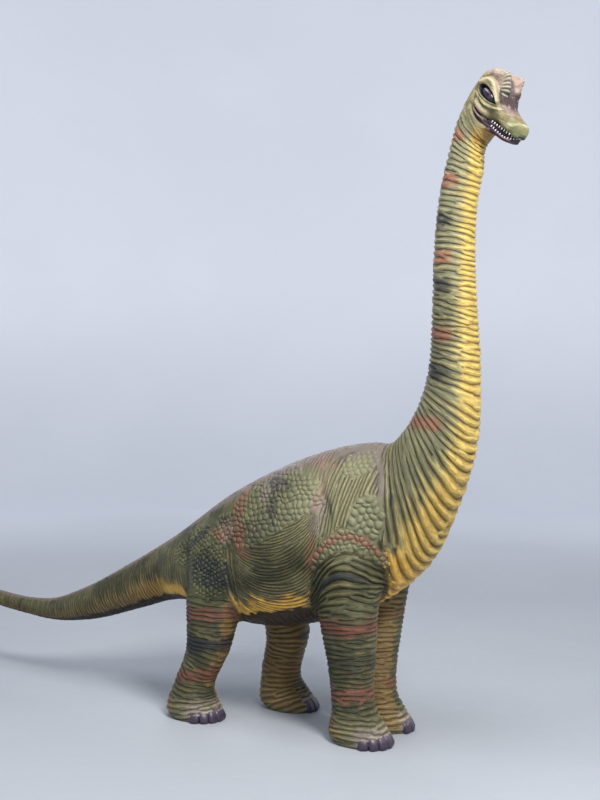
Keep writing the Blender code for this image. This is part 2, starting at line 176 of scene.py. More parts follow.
def line_lengths(line):
    """Length along a line through several points, at each point."""
    return np.concatenate([[0], np.cumsum(np.linalg.norm(np.diff(line, axis=0), axis=1))])


def row_lengths(rows):
    """Length along the middle of the rows, at each row."""
    rows = np.asarray(rows)
    return line_lengths((rows[:, 0:2] + rows[:, 2:4]) / 2)


def full_turn(sides):
    """Evenly spread angles round a ring, as one row."""
    return np.arange(sides)[None, :] * 2 * math.pi / sides


# ---- the head's frame ----
def head_plane(line):
    """Rows given in the head's frame, as rows of the side outline."""
    line, (cos, sin) = np.asarray(line), (math.cos(HEAD_PITCH), math.sin(HEAD_PITCH))
    pairs = [(HEAD_AT[0] + line[:, i] * cos + line[:, i + 1] * sin,
              HEAD_AT[1] - line[:, i] * sin + line[:, i + 1] * cos) for i in (0, 2)]
    return np.column_stack([*pairs[0], *pairs[1], line[:, 4]])


def head_axes():
    """Rows: the head's directions along the muzzle, out to the left, and up, in the world."""
    cos, sin = math.cos(HEAD_PITCH), math.sin(HEAD_PITCH)
    turned = np.array([math.cos(HEAD_TURN), -math.sin(HEAD_TURN), 0])
    side = np.array([math.sin(HEAD_TURN), math.cos(HEAD_TURN), 0])
    up = np.array([0, 0, 1])
    return np.stack([turned * cos - up * sin, side, turned * sin + up * cos])


HEAD_ORIGIN = np.array([FEET_AHEAD + HEAD_AT[0], 0, HEAD_AT[1]])
HEAD_AXES = head_axes()


def to_head(points):
    """World points in the head's frame: along, out, up."""
    return (points - HEAD_ORIGIN) @ HEAD_AXES.T


def from_head(points):
    """Points of the head's frame in the world."""
    return np.asarray(points) @ HEAD_AXES + HEAD_ORIGIN


# ---- the spine, from tail tip to bill ----
SPINE = np.concatenate([TAIL_LINE, TRUNK_LINE, NECK_LINE, head_plane(SKULL_LINE)])
TRUNK_START = len(TAIL_LINE)
NECK_START = TRUNK_START + len(TRUNK_LINE)
SKULL_START = NECK_START + len(NECK_LINE)
SPINE_LENGTHS = row_lengths(SPINE)
TURN_FROM, TURN_TO = SPINE_LENGTHS[SKULL_START - 2], SPINE_LENGTHS[SKULL_START]
TRUNK_AT, NECK_AT = SPINE_LENGTHS[TRUNK_START], SPINE_LENGTHS[NECK_START]
SPINE_GIRTH = (SPINE[:, 4] + np.linalg.norm(SPINE[:, 0:2] - SPINE[:, 2:4], axis=1) / 2) / 2


def spine_stations(places):
    """Middle, reach to the back, half width sideways (three vectors) and squareness, by place."""
    rows = smooth_rows(SPINE, places, SPINE_LENGTHS)
    turn = HEAD_TURN * eased((places - TURN_FROM) / (TURN_TO - TURN_FROM))
    billed = eased((places - TURN_TO) / (SPINE_LENGTHS[-1] - TURN_TO))
    middle, reach = (rows[:, 0:2] + rows[:, 2:4]) / 2, (rows[:, 0:2] - rows[:, 2:4]) / 2
    ahead = middle[:, 0] - HEAD_AT[0]
    cos, sin, zero = np.cos(turn), np.sin(turn), np.zeros_like(turn)
    at = np.stack([FEET_AHEAD + HEAD_AT[0] + ahead * cos, -ahead * sin, middle[:, 1]], axis=1)
    back = np.stack([reach[:, 0] * cos, -reach[:, 0] * sin, reach[:, 1]], axis=1)
    side = rows[:, 4:5] * np.stack([sin, cos, zero], axis=1)
    return at, back, side, 2 + BILL_SQUARENESS * billed


def belly_weight(places):
    """How much wider the body is low down than high up: only the trunk is."""
    return BELLY_WEIGHT * (eased((places - TRUNK_AT + 0.2) / 0.3)
                           * eased((NECK_AT + 0.1 - places) / 0.3))


def rounded(angle, squareness):
    """Cosine and sine of an ellipse that squareness above 2 fills out towards its box."""
    cos, sin, power = np.cos(angle), np.sin(angle), 2 / squareness
    return np.sign(cos) * np.abs(cos) ** power, np.sign(sin) * np.abs(sin) ** power


def spine_rings(places, sides):
    """Rings of the body: middle + cos * reach to the back + sin * half width, at each place."""
    at, back, side, squareness = spine_stations(places)
    angle = full_turn(sides)
    deep, wide = rounded(angle, squareness[:, None])
    wide = wide * (1 - belly_weight(places)[:, None] * np.cos(angle))
    return at[:, None] + deep[..., None] * back[:, None] + wide[..., None] * side[:, None]


def head_rings(line, count, sides):
    """Rings through rows of the head's frame, squarer than an ellipse, turned with the head."""
    rows = head_plane(line)
    lengths = row_lengths(rows)
    rows = smooth_rows(rows, np.linspace(0, lengths[-1], count), lengths)
    deep, wide = rounded(full_turn(sides), 2 + BILL_SQUARENESS)
    middle, reach = (rows[:, 0:2] + rows[:, 2:4]) / 2, (rows[:, 0:2] - rows[:, 2:4]) / 2
    plane = middle[:, None] + deep[..., None] * reach[:, None]
    out, ahead = wide * rows[:, 4:5], plane[..., 0] - HEAD_AT[0]
    cos, sin = math.cos(HEAD_TURN), math.sin(HEAD_TURN)
    return np.stack([FEET_AHEAD + HEAD_AT[0] + ahead * cos + out * sin,
                     -ahead * sin + out * cos, plane[..., 1]], axis=-1)


def leg_sizes(path, heights):
    """Half length, half width, and middle x and y of a leg at each height."""
    girth, path = np.asarray(LEG_GIRTH), np.asarray(path)
    size = smooth_rows(girth, heights, girth[:, 0])
    middle = smooth_rows(path, heights, path[:, 0])
    return size[:, 1], size[:, 2], FEET_AHEAD + middle[:, 1], middle[:, 2]


def leg_rings(side, path, count, sides):
    """Level rings of a leg: middle + (cos * half length, sin * half width), from the sole up."""
    heights = LEG_GIRTH[-1][0] * np.linspace(0, 1, count) ** 1.25
    length, width, x, y = (row[:, None] for row in leg_sizes(path, heights))
    angle = full_turn(sides)
    rings = x + length * np.cos(angle), side * y + width * np.sin(angle)
    return np.stack([*rings, np.broadcast_to(heights[:, None], rings[0].shape)], axis=-1)


# ---- meshes ----
def ring_walls(rows, columns):
    """Triangles between the points of a grid, whose columns close into a ring: two for each
    four-sided face."""
    row, column = np.mgrid[0:rows - 1, 0:columns]
    after = (column + 1) % columns
    here, there = row * columns, (row + 1) * columns
    quads = np.stack([here + column, here + after, there + after, there + column], axis=-1)
    quads = quads.reshape(-1, 4)
    return np.concatenate([quads[:, [0, 1, 2]], quads[:, [0, 2, 3]]])


def closed_tube(rings):
    """Points and triangles of rings joined into a tube, its ends closed onto their middles."""
    count, sides = rings.shape[:2]
    points = np.concatenate([rings.reshape(-1, 3), rings[:1].mean(axis=1), rings[-1:].mean(axis=1)])
    ring = np.arange(sides)
    after = (ring + 1) % sides
    first = np.stack([np.full(sides, count * sides), after, ring], axis=1)
    last = np.stack([np.full(sides, count * sides + 1), (count - 1) * sides + ring,
                     (count - 1) * sides + after], axis=1)
    return points, np.concatenate([ring_walls(count, sides), first, last])


def outward(points, triangles):
    """The triangles, turned round if they enclose a negative volume."""
    corners = points[triangles]
    volume = np.einsum("ij,ij->i", corners[:, 0], np.cross(corners[:, 1], corners[:, 2])).sum()
    return triangles if volume > 0 else triangles[:, ::-1]


def joined(parts):
    """Several (points, triangles) as one, each facing outward."""
    points, triangles, start = [], [], 0
    for part_points, part_triangles in parts:
        points.append(part_points)
        triangles.append(outward(part_points, part_triangles) + start)
        start += len(part_points)
    return np.concatenate(points), np.concatenate(triangles)


def scene_object(name, data):
    """An object that holds this data, in the scene."""
    obj = bpy.data.objects.new(name, data)
    bpy.context.scene.collection.objects.link(obj)
    return obj


def mesh_object(name, points, faces):
    """An object of these points and faces, smoothly shaded, at the origin."""
    mesh = bpy.data.meshes.new(name)
    mesh.from_pydata(points.tolist(), [], faces.tolist())
    mesh.shade_smooth()
    return scene_object(name, mesh)


def apply_modifiers(obj):
    """Replaces the object's mesh by what its modifiers make of it."""
    graph = bpy.context.evaluated_depsgraph_get()
    graph.update()
    mesh = bpy.data.meshes.new_from_object(obj.evaluated_get(graph), depsgraph=graph)
    obj.modifiers.clear()
    obj.data = mesh


def read_points(mesh, kind="co"):
    """Coordinates ("co"), or normals, of all the mesh's points."""
    values = np.empty(len(mesh.vertices) * 3, np.float32)
    source = mesh.vertices if kind == "co" else mesh.vertex_normals
    source.foreach_get("co" if kind == "co" else "vector", values)
    return values.reshape(-1, 3).astype(float)


def read_edges(mesh):
    """The two points of every edge."""
    edges = np.empty(len(mesh.edges) * 2, np.int32)
    mesh.edges.foreach_get("vertices", edges)
    return edges.reshape(-1, 2)


def neighbour_mean(values, edges):
    """Mean of each point's neighbours, for a column of values at each point."""
    count = len(values)
    ends = np.concatenate([edges[:, 0], edges[:, 1]])
    others = np.concatenate([edges[:, 1], edges[:, 0]])
    near = np.bincount(ends, minlength=count)
    sums = [np.bincount(ends, values[others, i], count) for i in range(values.shape[1])]
    return np.stack(sums, axis=1) / near[:, None]


# ---- where a point of the skin lies on the body ----
STATIONS = 420
CHUNK = 40_000


def spine_coordinates(points):
    """Length along the spine, angle round it (0 along the back, pi along the belly, positive on
    the left) and share of the body's radius, at each point.

    A point lies between two stations where it is ahead of one's plane and behind the next one's;
    where several pairs say so, the nearest for its size holds."""
    places = np.linspace(0, SPINE_LENGTHS[-1], STATIONS)
    at, back, side, _ = spine_stations(places)
    normal = np.cross(side, back)
    normal /= np.linalg.norm(normal, axis=1, keepdims=True)
    size = np.linalg.norm(back, axis=1) + np.linalg.norm(side, axis=1)
    ahead = points @ normal.T - (at * normal).sum(axis=1)
    far = ((points**2).sum(axis=1)[:, None] - 2 * points @ at.T + (at**2).sum(axis=1)) / size**2
    passed = (ahead[:, :-1] >= 0) & (ahead[:, 1:] < 0)
    low = np.where(passed, far[:, :-1], np.inf).argmin(axis=1)
    found = passed.any(axis=1)
    low = np.where(found, low, far[:, :-1].argmin(axis=1))
    row = np.arange(len(points))
    before, after = ahead[row, low], ahead[row, low + 1]
    t = np.where(found, before / np.where(found, before - after, 1), 0)[:, None]
    length = places[low] + t[:, 0] * (places[1] - places[0])
    here, deep, wide = (v[low] * (1 - t) + v[low + 1] * t for v in (at, back, side))
    up = ((points - here) * deep).sum(axis=1) / (deep**2).sum(axis=1)
    out = ((points - here) * wide).sum(axis=1) / (wide**2).sum(axis=1)
    cosine = up / np.maximum(np.hypot(up, out), 1e-9)
    out = out / (1 - belly_weight(length) * cosine)
    return length, np.arctan2(out, up), np.hypot(up, out)


def in_chunks(function, points):
    """What the function gives for all the points, taken a chunk at a time to save memory."""
    parts = [function(points[start:start + CHUNK]) for start in range(0, len(points), CHUNK)]
    return [np.concatenate(column) for column in zip(*parts)]


def leg_coordinates(points, side, path):
    """Angle round a leg (0 ahead, positive outward) and share of its radius, at each point."""
    length, width, x, y = leg_sizes(path, points[:, 2])
    ahead, out = (points[:, 0] - x) / length, (side * points[:, 1] - y) / width
    return np.arctan2(out, ahead), np.hypot(ahead, out)


# ---- folds ----
TILE, WAVES = 512, 32      # points across a tile, and folds across it


def frequencies():
    """How many waves each term of a tile's Fourier sum makes along it and across it."""
    cycles = np.fft.fftfreq(TILE, 1 / TILE)
    return np.meshgrid(cycles, cycles, indexing="ij")


def fold_tile(seed, spread, shortness):
    """How rows of folds wander and fork, as a complex number at each point of a repeating tile.

    White noise keeps only the waves in an oval of frequencies about 0: spread * WAVES long across
    the folds, and shortness * WAVES along them. Its phase shifts the folds sideways; they fork
    round its zeros."""
    random = np.random.default_rng(seed)
    noise = random.standard_normal((TILE, TILE)) + 1j * random.standard_normal((TILE, TILE))
    along, across = frequencies()
    off = (along / (shortness * WAVES)) ** 2 + (across / (spread * WAVES)) ** 2
    drift = np.fft.ifft2(np.fft.fft2(noise) * np.exp(-off / 2))
    return drift / np.abs(drift).mean()


def cloud_tile(seed, along_waves, across_waves):
    """Soft noise from -1 to 1 that repeats at its edges: white noise less its shorter waves."""
    along, across = frequencies()
    noise = np.fft.fft2(np.random.default_rng(seed).standard_normal((TILE, TILE)))
    kept = np.exp(-((along / along_waves) ** 2 + (across / across_waves) ** 2) / 2)
    blotches = np.fft.ifft2(noise * kept).real
    return np.tanh(blotches / blotches.std())


def read_tile(tile, along, across):
    """A repeating tile's value between its grid points; both places count in folds."""
    row, column = along * TILE / WAVES, across * TILE / WAVES
    low_row, low_column = np.floor(row).astype(int), np.floor(column).astype(int)
    t, u = row - low_row, column - low_column
    (r0, r1), (c0, c1) = ((low % TILE, (low + 1) % TILE) for low in (low_row, low_column))
    near = tile[r0, c0] * (1 - u) + tile[r0, c1] * u
    return near * (1 - t) + (tile[r1, c0] * (1 - u) + tile[r1, c1] * u) * t


def rolls(drift, across):
    """Height of rolled skin, 0 in the creases and 1 on the rolls: |sin(phase / 2)|, where the
    phase turns once a fold and drifts; high where the drift is weak."""
    strength = eased(np.abs(drift) / 0.45)
    phase = 2 * math.pi * across + np.angle(drift)
    return 1 - strength * (1 - np.abs(np.sin(phase / 2)))


RINGS = fold_tile(3, 0.30, 0.150)
BRAIDED = fold_tile(11, 0.30, 0.140)
HANGING = fold_tile(5, 0.26, 0.055)
RAGGED = fold_tile(7, 0.28, 0.150)
DRAPED = fold_tile(17, 0.20, 0.070)
SWELLS = cloud_tile(21, 20, 14)
STREAKS = cloud_tile(23, 5, 30)
BLOTCHES = cloud_tile(25, 22, 22)


# ---- the layout of the skin, on the body's side: x from the feet's middle, z, in metres ----
def oval(x, z, middle, half, lean=0.0, edge=0.25):
    """1 inside an oval, which leans forward by this many radians, easing to 0 over its edge."""
    cos, sin = math.cos(lean), math.sin(lean)
    dx, dz = x - middle[0], z - middle[1]
    far = np.hypot((dx * cos - dz * sin) / half[0], (dx * sin + dz * cos) / half[1])
    return eased((1 + edge - far) / (2 * edge))


def between(value, low, high, edge):
    """1 from low to high, easing to 0 over an edge at each end."""
    return eased((value - low + edge / 2) / edge) * eased((high - value + edge / 2) / edge)


def ramp(value, start, end):
    """0 at start, easing to 1 at end, which may be the higher or the lower of the two."""
    return eased((value - start) / (end - start))


def line_distance(points, line):
    """Distance of each point to a line through several points."""
    line = np.asarray(line, float)
    nearest = np.full(len(points), np.inf)
    for a, b in zip(line[:-1], line[1:]):
        t = unit(((points - a) @ (b - a)) / ((b - a) @ (b - a)))
        nearest = np.minimum(nearest, np.linalg.norm(points - a - t[:, None] * (b - a), axis=1))
    return nearest


def curved(line):
    """A smooth line through several points, as many short straight pieces."""
    line = np.asarray(line, float)
    if len(line) < 3:
        return line
    lengths = line_lengths(line)
    return smooth_rows(line, np.linspace(0, lengths[-1], 5 * len(line)), lengths)


def bump(distance, width):
    """1 on a line, falling away as exp(-(distance / width)^2)."""
    return np.exp(-((distance / width) ** 2))


ARCH_AT = 0.365            # x of the shoulder arches' crown
SHOULDER_PIT = (0.235, 1.085)    # where the flank's folds gather behind the shoulder
THIGH_TOP = (-0.265, 0.945)      # where they gather over the thigh


def arch_height(x, z):
    """Height of the crown of the arch through each point: z + bend * (x - crown)^2. The bend
    grows from flat rings low on the leg to round arches at the shoulder."""
    height = z
    for _ in range(3):
        height = z + (0.25 + 4.3 * ramp(height, 0.52, 0.86)) * (x - ARCH_AT) ** 2
    return height


def hung_below(x, z):
    """How far each point's arc hangs below the straight line from the shoulder pit to the thigh's
    top, and where along the arc the point is. An arc is a circle through both ends, which sees
    them under one angle: depth = half chord * tan((pi - angle) / 2)."""
    (ax, az), (bx, bz) = SHOULDER_PIT, THIGH_TOP
    ax, az, bx, bz = ax - x, az - z, bx - x, bz - z
    near_a, near_b = np.hypot(ax, az), np.hypot(bx, bz)
    angle = np.arctan2(ax * bz - az * bx, ax * bx + az * bz)
    half = math.hypot(SHOULDER_PIT[0] - THIGH_TOP[0], SHOULDER_PIT[1] - THIGH_TOP[1]) / 2
    below = np.where(angle > 0, half * np.tan((math.pi - np.clip(angle, 0.1, math.pi)) / 2), -1.0)
    along = half * np.log((near_b + 0.01) / (near_a + 0.01))
    return below, along, np.minimum(near_a, near_b)


HEAD_FADE = (SPINE_LENGTHS[SKULL_START - 1] - 0.01, SPINE_LENGTHS[SKULL_START] + 0.03)


class Places:
    """Where every point of the skin lies: in the world, on the body's side, along the spine, on
    the legs and in the head's frame; how much each part of the body holds it, and two noises."""

    def __init__(self, points):
        self.x, self.z = points[:, 0] - FEET_AHEAD, points[:, 2]
        self.out = np.abs(points[:, 1])
        self.length, self.angle, self.share = in_chunks(spine_coordinates, points)
        self.turn = np.abs(self.angle)
        self.arc = self.turn * np.interp(self.length, SPINE_LENGTHS, SPINE_GIRTH)
        self.legs = [leg_coordinates(points, side, path) for _, side, path in LEGS]
        self.nearest_leg = np.argmin([share for _, share in self.legs], axis=0)
        self.leg_angle = np.choose(self.nearest_leg, [angle for angle, _ in self.legs])
        self.leg_share = np.choose(self.nearest_leg, [share for _, share in self.legs])
        self.along, aside, self.up = to_head(points).T
        self.head_side = np.stack([self.along, np.abs(aside), self.up], axis=1)
        self.head = ramp(self.length, *HEAD_FADE)
        self.on_leg = (ramp(self.leg_share, 1.34, 1.12)
                       * ramp(self.z, 1.0, 0.9))
        self.on_head = np.flatnonzero(self.head > 0)
        self.tail = ramp(self.length, TRUNK_AT, TRUNK_AT - 0.15)
        self.neck = ramp(self.length, NECK_AT - 0.10, NECK_AT + 0.05)
        self.trunk = (1 - self.tail) * (1 - self.neck)
        self.noise = read_tile(BLOTCHES, self.x * 60, self.z * 60 + points[:, 1] * 30)
        self.streak = read_tile(STREAKS, self.z * 60 + points[:, 1] * 20, self.x * 40)

    def from_head(self, values):
        """Values worked out for the head's points alone, with 0 on the rest of the body."""
        whole = np.zeros(len(self.x))
        whole[self.on_head] = values
        return whole


# ---- scales ----
# Patches of pebbled skin on each side: middle (x, z), half size, lean, size of a scale, tilt of
# its rows, height.
SCALE_PATCHES = {
    "shoulder": ((0.447, 1.035), (0.080, 0.100), -0.1, 0.035, 0.2, 0.0085),
    "withers": ((0.370, 1.275), (0.078, 0.056), -0.3, 0.024, 0.1, 0.0042),
    "flank": ((0.000, 1.050), (0.250, 0.200), 0.1, 0.029, 0.1, 0.0066),
    "column": ((-0.205, 1.000), (0.050, 0.140), -0.25, 0.029, 0.0, 0.0072),
    "haunch": ((-0.285, 0.945), (0.085, 0.085), 0.3, 0.026, 0.4, 0.0060),
    "thigh": ((-0.350, 0.745), (0.112, 0.130), 0.1, 0.023, 0.5, 0.0058),
    "rump": ((-0.505, 0.850), (0.150, 0.072), -0.6, 0.021, 0.6, 0.0048),
}
ARCH_BAND = (0.905, 0.985)     # heights of the arch's crown that hold scales
ARCH_SCALE, ARCH_RISE = 0.026, 0.0070


def flank_edge(x, z):
    """1 above the line where the flank's scales give way to the folds that sweep up forward."""
    return ramp(z - (0.885 + 0.61 * (x + 0.100)), -0.012, 0.012)


def patch_mask(name, x, z):
    """1 on one patch of scales, on a side of the body."""
    middle, half, lean = SCALE_PATCHES[name][:3]
    mask = oval(x, z, middle, half, lean, 0.10)
    if name == "flank":
        mask = mask * flank_edge(x, z) * ramp(x, -0.205, -0.190)
    return mask


def on_arch(x, z):
    """1 on the band of scales that arches over the front leg."""
    across = between(x, ARCH_AT - 0.17, ARCH_AT + 0.155, 0.03)
    return between(arch_height(x, z), *ARCH_BAND, 0.015) * across


def scaled(x, z):
    """1 where the skin is pebbled, on a side of the body."""
    return greatest(*(patch_mask(name, x, z) for name in SCALE_PATCHES), on_arch(x, z))


# ---- relief: how far each point of the skin moves along its normal ----
# Kinds of folds: tile, distance from fold to fold, depth. Rings of the neck and chest are
# counted beforehand, so their distance is 1.
LEG_RINGS = (RINGS, 0.0235, 0.0068)
NECK_RINGS, CHEST_RINGS = (BRAIDED, 1, 0.0078), (DRAPED, 1, 0.0078)
TAIL_RINGS = (BRAIDED, 0.0175, 0.0040)
SHOULDER_FOLDS = (HANGING, 0.0170, 0.0052)
THIGH_FOLDS = (HANGING, 0.0180, 0.0075)
BELLY_FOLDS = (RAGGED, 0.0300, 0.0045)
FLANK_FOLDS = (HANGING, 0.0155, 0.0062)
PLAIN_FOLDS = (RAGGED, 0.0200, 0.0030)
LEG_RADIUS = 0.115                                         # a leg's, to measure round it
HIGH_FROM, HIGH_RING, HIGH_DEEPER = 0.60, 0.036, 0.0060    # rings high on a front leg are wider
NECK_RING, CHEST_RING = 0.0275, 0.0360                     # from ring to ring, there
MEAN_ROLL = 0.62                                           # mean height of the rolls


class Relief:
    """Heights of the folds, added up region by region, and what the paint needs of them: how the
    strongest region's folds lie, their drift and count, and their depth in centimetres."""

    def __init__(self, count):
        self.height, self.depth = np.zeros(count), np.zeros(count)
        self.lie, self.wave = np.zeros((count, 3)), np.zeros((count, 3))
        self.most, self.left_out = np.zeros(count), np.ones(count)

    def folds(self, weight, across, along, kind, deeper=0):
        """Adds a region of folds: weight * depth * swell * (roll - its mean). across is measured
        from fold to fold, along with them. The regions that come first keep what they take."""
        tile, pitch, depth = kind
        across, along, depth = across / pitch, along / pitch, depth + deeper
        weight = weight * self.left_out
        self.left_out = self.left_out - weight
        drift = read_tile(tile, along, across)
        swell = 1 + 0.3 * read_tile(SWELLS, along, across)
        self.height += weight * depth * swell * (rolls(drift, across) - MEAN_ROLL)
        strongest = weight > self.most
        self.lie[strongest] = np.stack([along, across, 0 * along], axis=1)[strongest]
        self.wave[strongest] = np.stack([drift.real, drift.imag, across], axis=1)[strongest]
        self.most = np.maximum(self.most, weight)
        deep = depth * 100 * ramp(weight, 0.5, 0.85)
        self.depth[strongest] = (deep + 0 * along)[strongest]


def leg_folds(relief, places):
    """Rings round the legs: on a front leg they bend up into arches on the shoulder, on a hind leg
    they lean square to its middle line."""
    x, z = places.x, places.z
    for index, (name, _, path) in enumerate(LEGS):
        angle, share = places.legs[index]
        arc = np.abs(angle) * LEG_RADIUS + 9 * index * LEG_RINGS[1]
        mine = (places.nearest_leg == index) * ramp(share, 1.30, 1.10)
        if name.startswith("front"):
            crown = arch_height(x, z)
            across = (np.minimum(crown, HIGH_FROM)
                      + np.maximum(crown - HIGH_FROM, 0) * LEG_RINGS[1] / HIGH_RING)
            relief.folds(mine * (1 - ramp(crown, 0.885, 0.905)), across, arc, LEG_RINGS,
                         HIGH_DEEPER * ramp(crown, HIGH_FROM - 0.04, HIGH_FROM + 0.12))
        else:
            middle, above = (leg_sizes(path, z + rise)[2] for rise in (0, 0.02))
            lean = np.clip((above - middle) / 0.02, -0.6, 0.6)
            level = z + (x + FEET_AHEAD - middle) * lean * 0.7
            relief.folds(mine * (1 - ramp(level, 0.60, 0.68)), level, arc, LEG_RINGS)


# How many rings the neck has up to each length: they are wider at the chest.
RING_LENGTHS = np.linspace(0, SPINE_LENGTHS[-1], 600)
RING_WIDER = (CHEST_RING - NECK_RING) * ramp(RING_LENGTHS, NECK_AT + 0.75, NECK_AT + 0.20)
RING_COUNTS = np.cumsum((RING_LENGTHS[1] - RING_LENGTHS[0]) / (NECK_RING + RING_WIDER))


def body_relief(places):
    """The folds of the whole body."""
    x, z, length, turn, arc = places.x, places.z, places.length, places.turn, places.arc
    relief = Relief(len(x))
    side_scales = scaled(x, z) * (places.share < 1.35) * ramp(places.out, 0.02, 0.05)
    relief.left_out *= (1 - places.head) * (1 - side_scales)
    leg_folds(relief, places)

    # The neck and chest: rings that hang lower in front, wide and fat at the chest.
    start = NECK_AT - 0.03 - 0.17 * ramp(turn, 1.5, 2.3) + 0.020 * np.sin(22 * z)
    front = (1 - np.cos(places.angle)) / 2
    drop = 0.095 - 0.060 * ramp(length, NECK_AT + 0.1, NECK_AT + 0.7)
    ring_at = np.interp(length + drop * front, RING_LENGTHS, RING_COUNTS)
    chest = ramp(length, NECK_AT + 0.75, NECK_AT + 0.25)
    weight = ramp(length, start - 0.045, start + 0.045)
    along = arc / (0.028 + 0.009 * chest)
    relief.folds(weight * ramp(chest, 0.2, 0.5), ring_at, along, CHEST_RINGS,
                 chest * (0.0018 + 0.0050 * ramp(turn, 1.7, 2.5)))
    relief.folds(weight, ring_at, along, NECK_RINGS, 0.0018 * chest)

    # The tail: narrow rings.
    relief.folds(ramp(length, TRUNK_AT + 0.02, TRUNK_AT - 0.14), length, arc, TAIL_RINGS)

    # The shoulder's upright folds, the thigh's, and the flank's that hang from pit to thigh.
    upright = oval(x, z, (0.345, 1.120), (0.180, 0.215), 0.0, 0.15) * ramp(x, 0.205, 0.245)
    lean = x - 0.20 * (z - 1.1) - 0.5 * (x - 0.35) * (z - 1.0)
    relief.folds(upright, lean, z, SHOULDER_FOLDS)
    below, along, reach = hung_below(x, z)
    thigh = oval(x, z, (-0.245, 0.770), (0.050, 0.170), -0.16, 0.25)
    relief.folds(thigh, x + 0.16 * z, z, THIGH_FOLDS)
    relief.folds(ramp(turn, 2.35, 2.6), length, arc, BELLY_FOLDS)
    hung = ramp(below, -0.5, 0.0) * ramp(reach, 0.0, 0.05) * between(x, -0.36, 0.33, 0.08)
    relief.folds(hung, below, along, FLANK_FOLDS, -0.0025 * (1 - ramp(reach, 0.02, 0.14)))
    relief.folds(np.ones_like(x), length, arc, PLAIN_FOLDS)
    return relief, side_scales


# Grooves on each side of the body: points (x, z), half width, depth (below 0: a swelling).
GROOVES = (
    (((0.205, 1.190), (0.238, 1.110), (0.262, 1.047), (0.262, 0.985), (0.215, 0.860),
      (0.190, 0.700)), 0.022, 0.013),
    (((0.545, 1.140), (0.520, 1.210), (0.505, 1.280)), 0.014, 0.008),
    (((0.515, 0.900), (0.530, 0.760), (0.505, 0.650)), 0.022, 0.012),
    (((-0.300, 0.980), (-0.225, 0.880), (-0.205, 0.760), (-0.215, 0.620)), 0.024, 0.008),
    (((-0.560, 0.870), (-0.520, 0.760), (-0.520, 0.650)), 0.024, 0.010),
    (((0.300, 1.200), (0.330, 1.080), (0.360, 1.010)), 0.060, -0.008),
)


def grooves(places):
    """The grooves between shoulder, flank, thigh and chest: depth * exp(-(far / width)^2)."""
    depth, side = np.zeros_like(places.x), np.stack([places.x, places.z], axis=1)
    for line, width, most in GROOVES:
        depth += most * bump(line_distance(side, line), width)
    return depth * ramp(places.out, 0.08, 0.14)


# ---- relief of the head, in its own frame: along, out, up, on each side ----
EYE_MIDDLE, EYE_HALF, EYE_SLANT = (0.0460, 0.179), (0.054, 0.0185), math.radians(18)
# The lines that the relief and the paint of the head follow.
ARCH_LINE = ((0.002, 0.046, 0.288), (0.036, 0.05, 0.29), (0.068, 0.052, 0.28),
             (0.092, 0.051, 0.258), (0.11, 0.049, 0.232))
BROW = ((-0.022, 0.082, 0.206), (-0.004, 0.076, 0.226), (0.036, 0.071, 0.228),
        (0.069, 0.067, 0.201), (0.098, 0.064, 0.174))
BROW_EDGE = ((-0.03, 0.074, 0.228), (-0.004, 0.066, 0.25), (0.039, 0.06, 0.247),
             (0.08, 0.058, 0.218), (0.106, 0.058, 0.182), (0.126, 0.056, 0.156))
LOWER_LID = ((-0.014, 0.09, 0.166), (0.018, 0.09, 0.148), (0.053, 0.088, 0.138),
             (0.097, 0.08, 0.142), (0.132, 0.07, 0.152))
CHEEK = ((0.006, 0.092, 0.134), (0.047, 0.089, 0.114), (0.085, 0.083, 0.109),
         (0.128, 0.074, 0.113), (0.166, 0.065, 0.11), (0.205, 0.055, 0.102))
UPPER_LIP = ((0.008, 0.092, 0.122), (0.042, 0.089, 0.106), (0.083, 0.084, 0.1),
             (0.121, 0.076, 0.1), (0.15, 0.068, 0.097), (0.185, 0.061, 0.09),
             (0.222, 0.052, 0.087), (0.25, 0.034, 0.09))
MOUTH_GAP = ((0.006, 0.092, 0.114), (0.042, 0.088, 0.096), (0.083, 0.082, 0.09),
             (0.121, 0.072, 0.088))
LOWER_LIP = ((0.02, 0.09, 0.1), (0.06, 0.084, 0.084), (0.1, 0.076, 0.081), (0.13, 0.068, 0.074),
             (0.165, 0.057, 0.064), (0.21, 0.049, 0.059), (0.24, 0.038, 0.062))
BEHIND_EYE = ((-0.036, 0.086, 0.2), (-0.026, 0.09, 0.175), (-0.012, 0.092, 0.146),
              (0.0, 0.093, 0.122))
JOWL = ((-0.008, 0.094, 0.112), (0.026, 0.09, 0.084), (0.064, 0.082, 0.066), (0.096, 0.074, 0.06))
BILL_RIM = ((0.13, 0.057, 0.136), (0.168, 0.052, 0.124), (0.205, 0.043, 0.119),
            (0.225, 0.022, 0.13), (0.232, 0.0, 0.137))
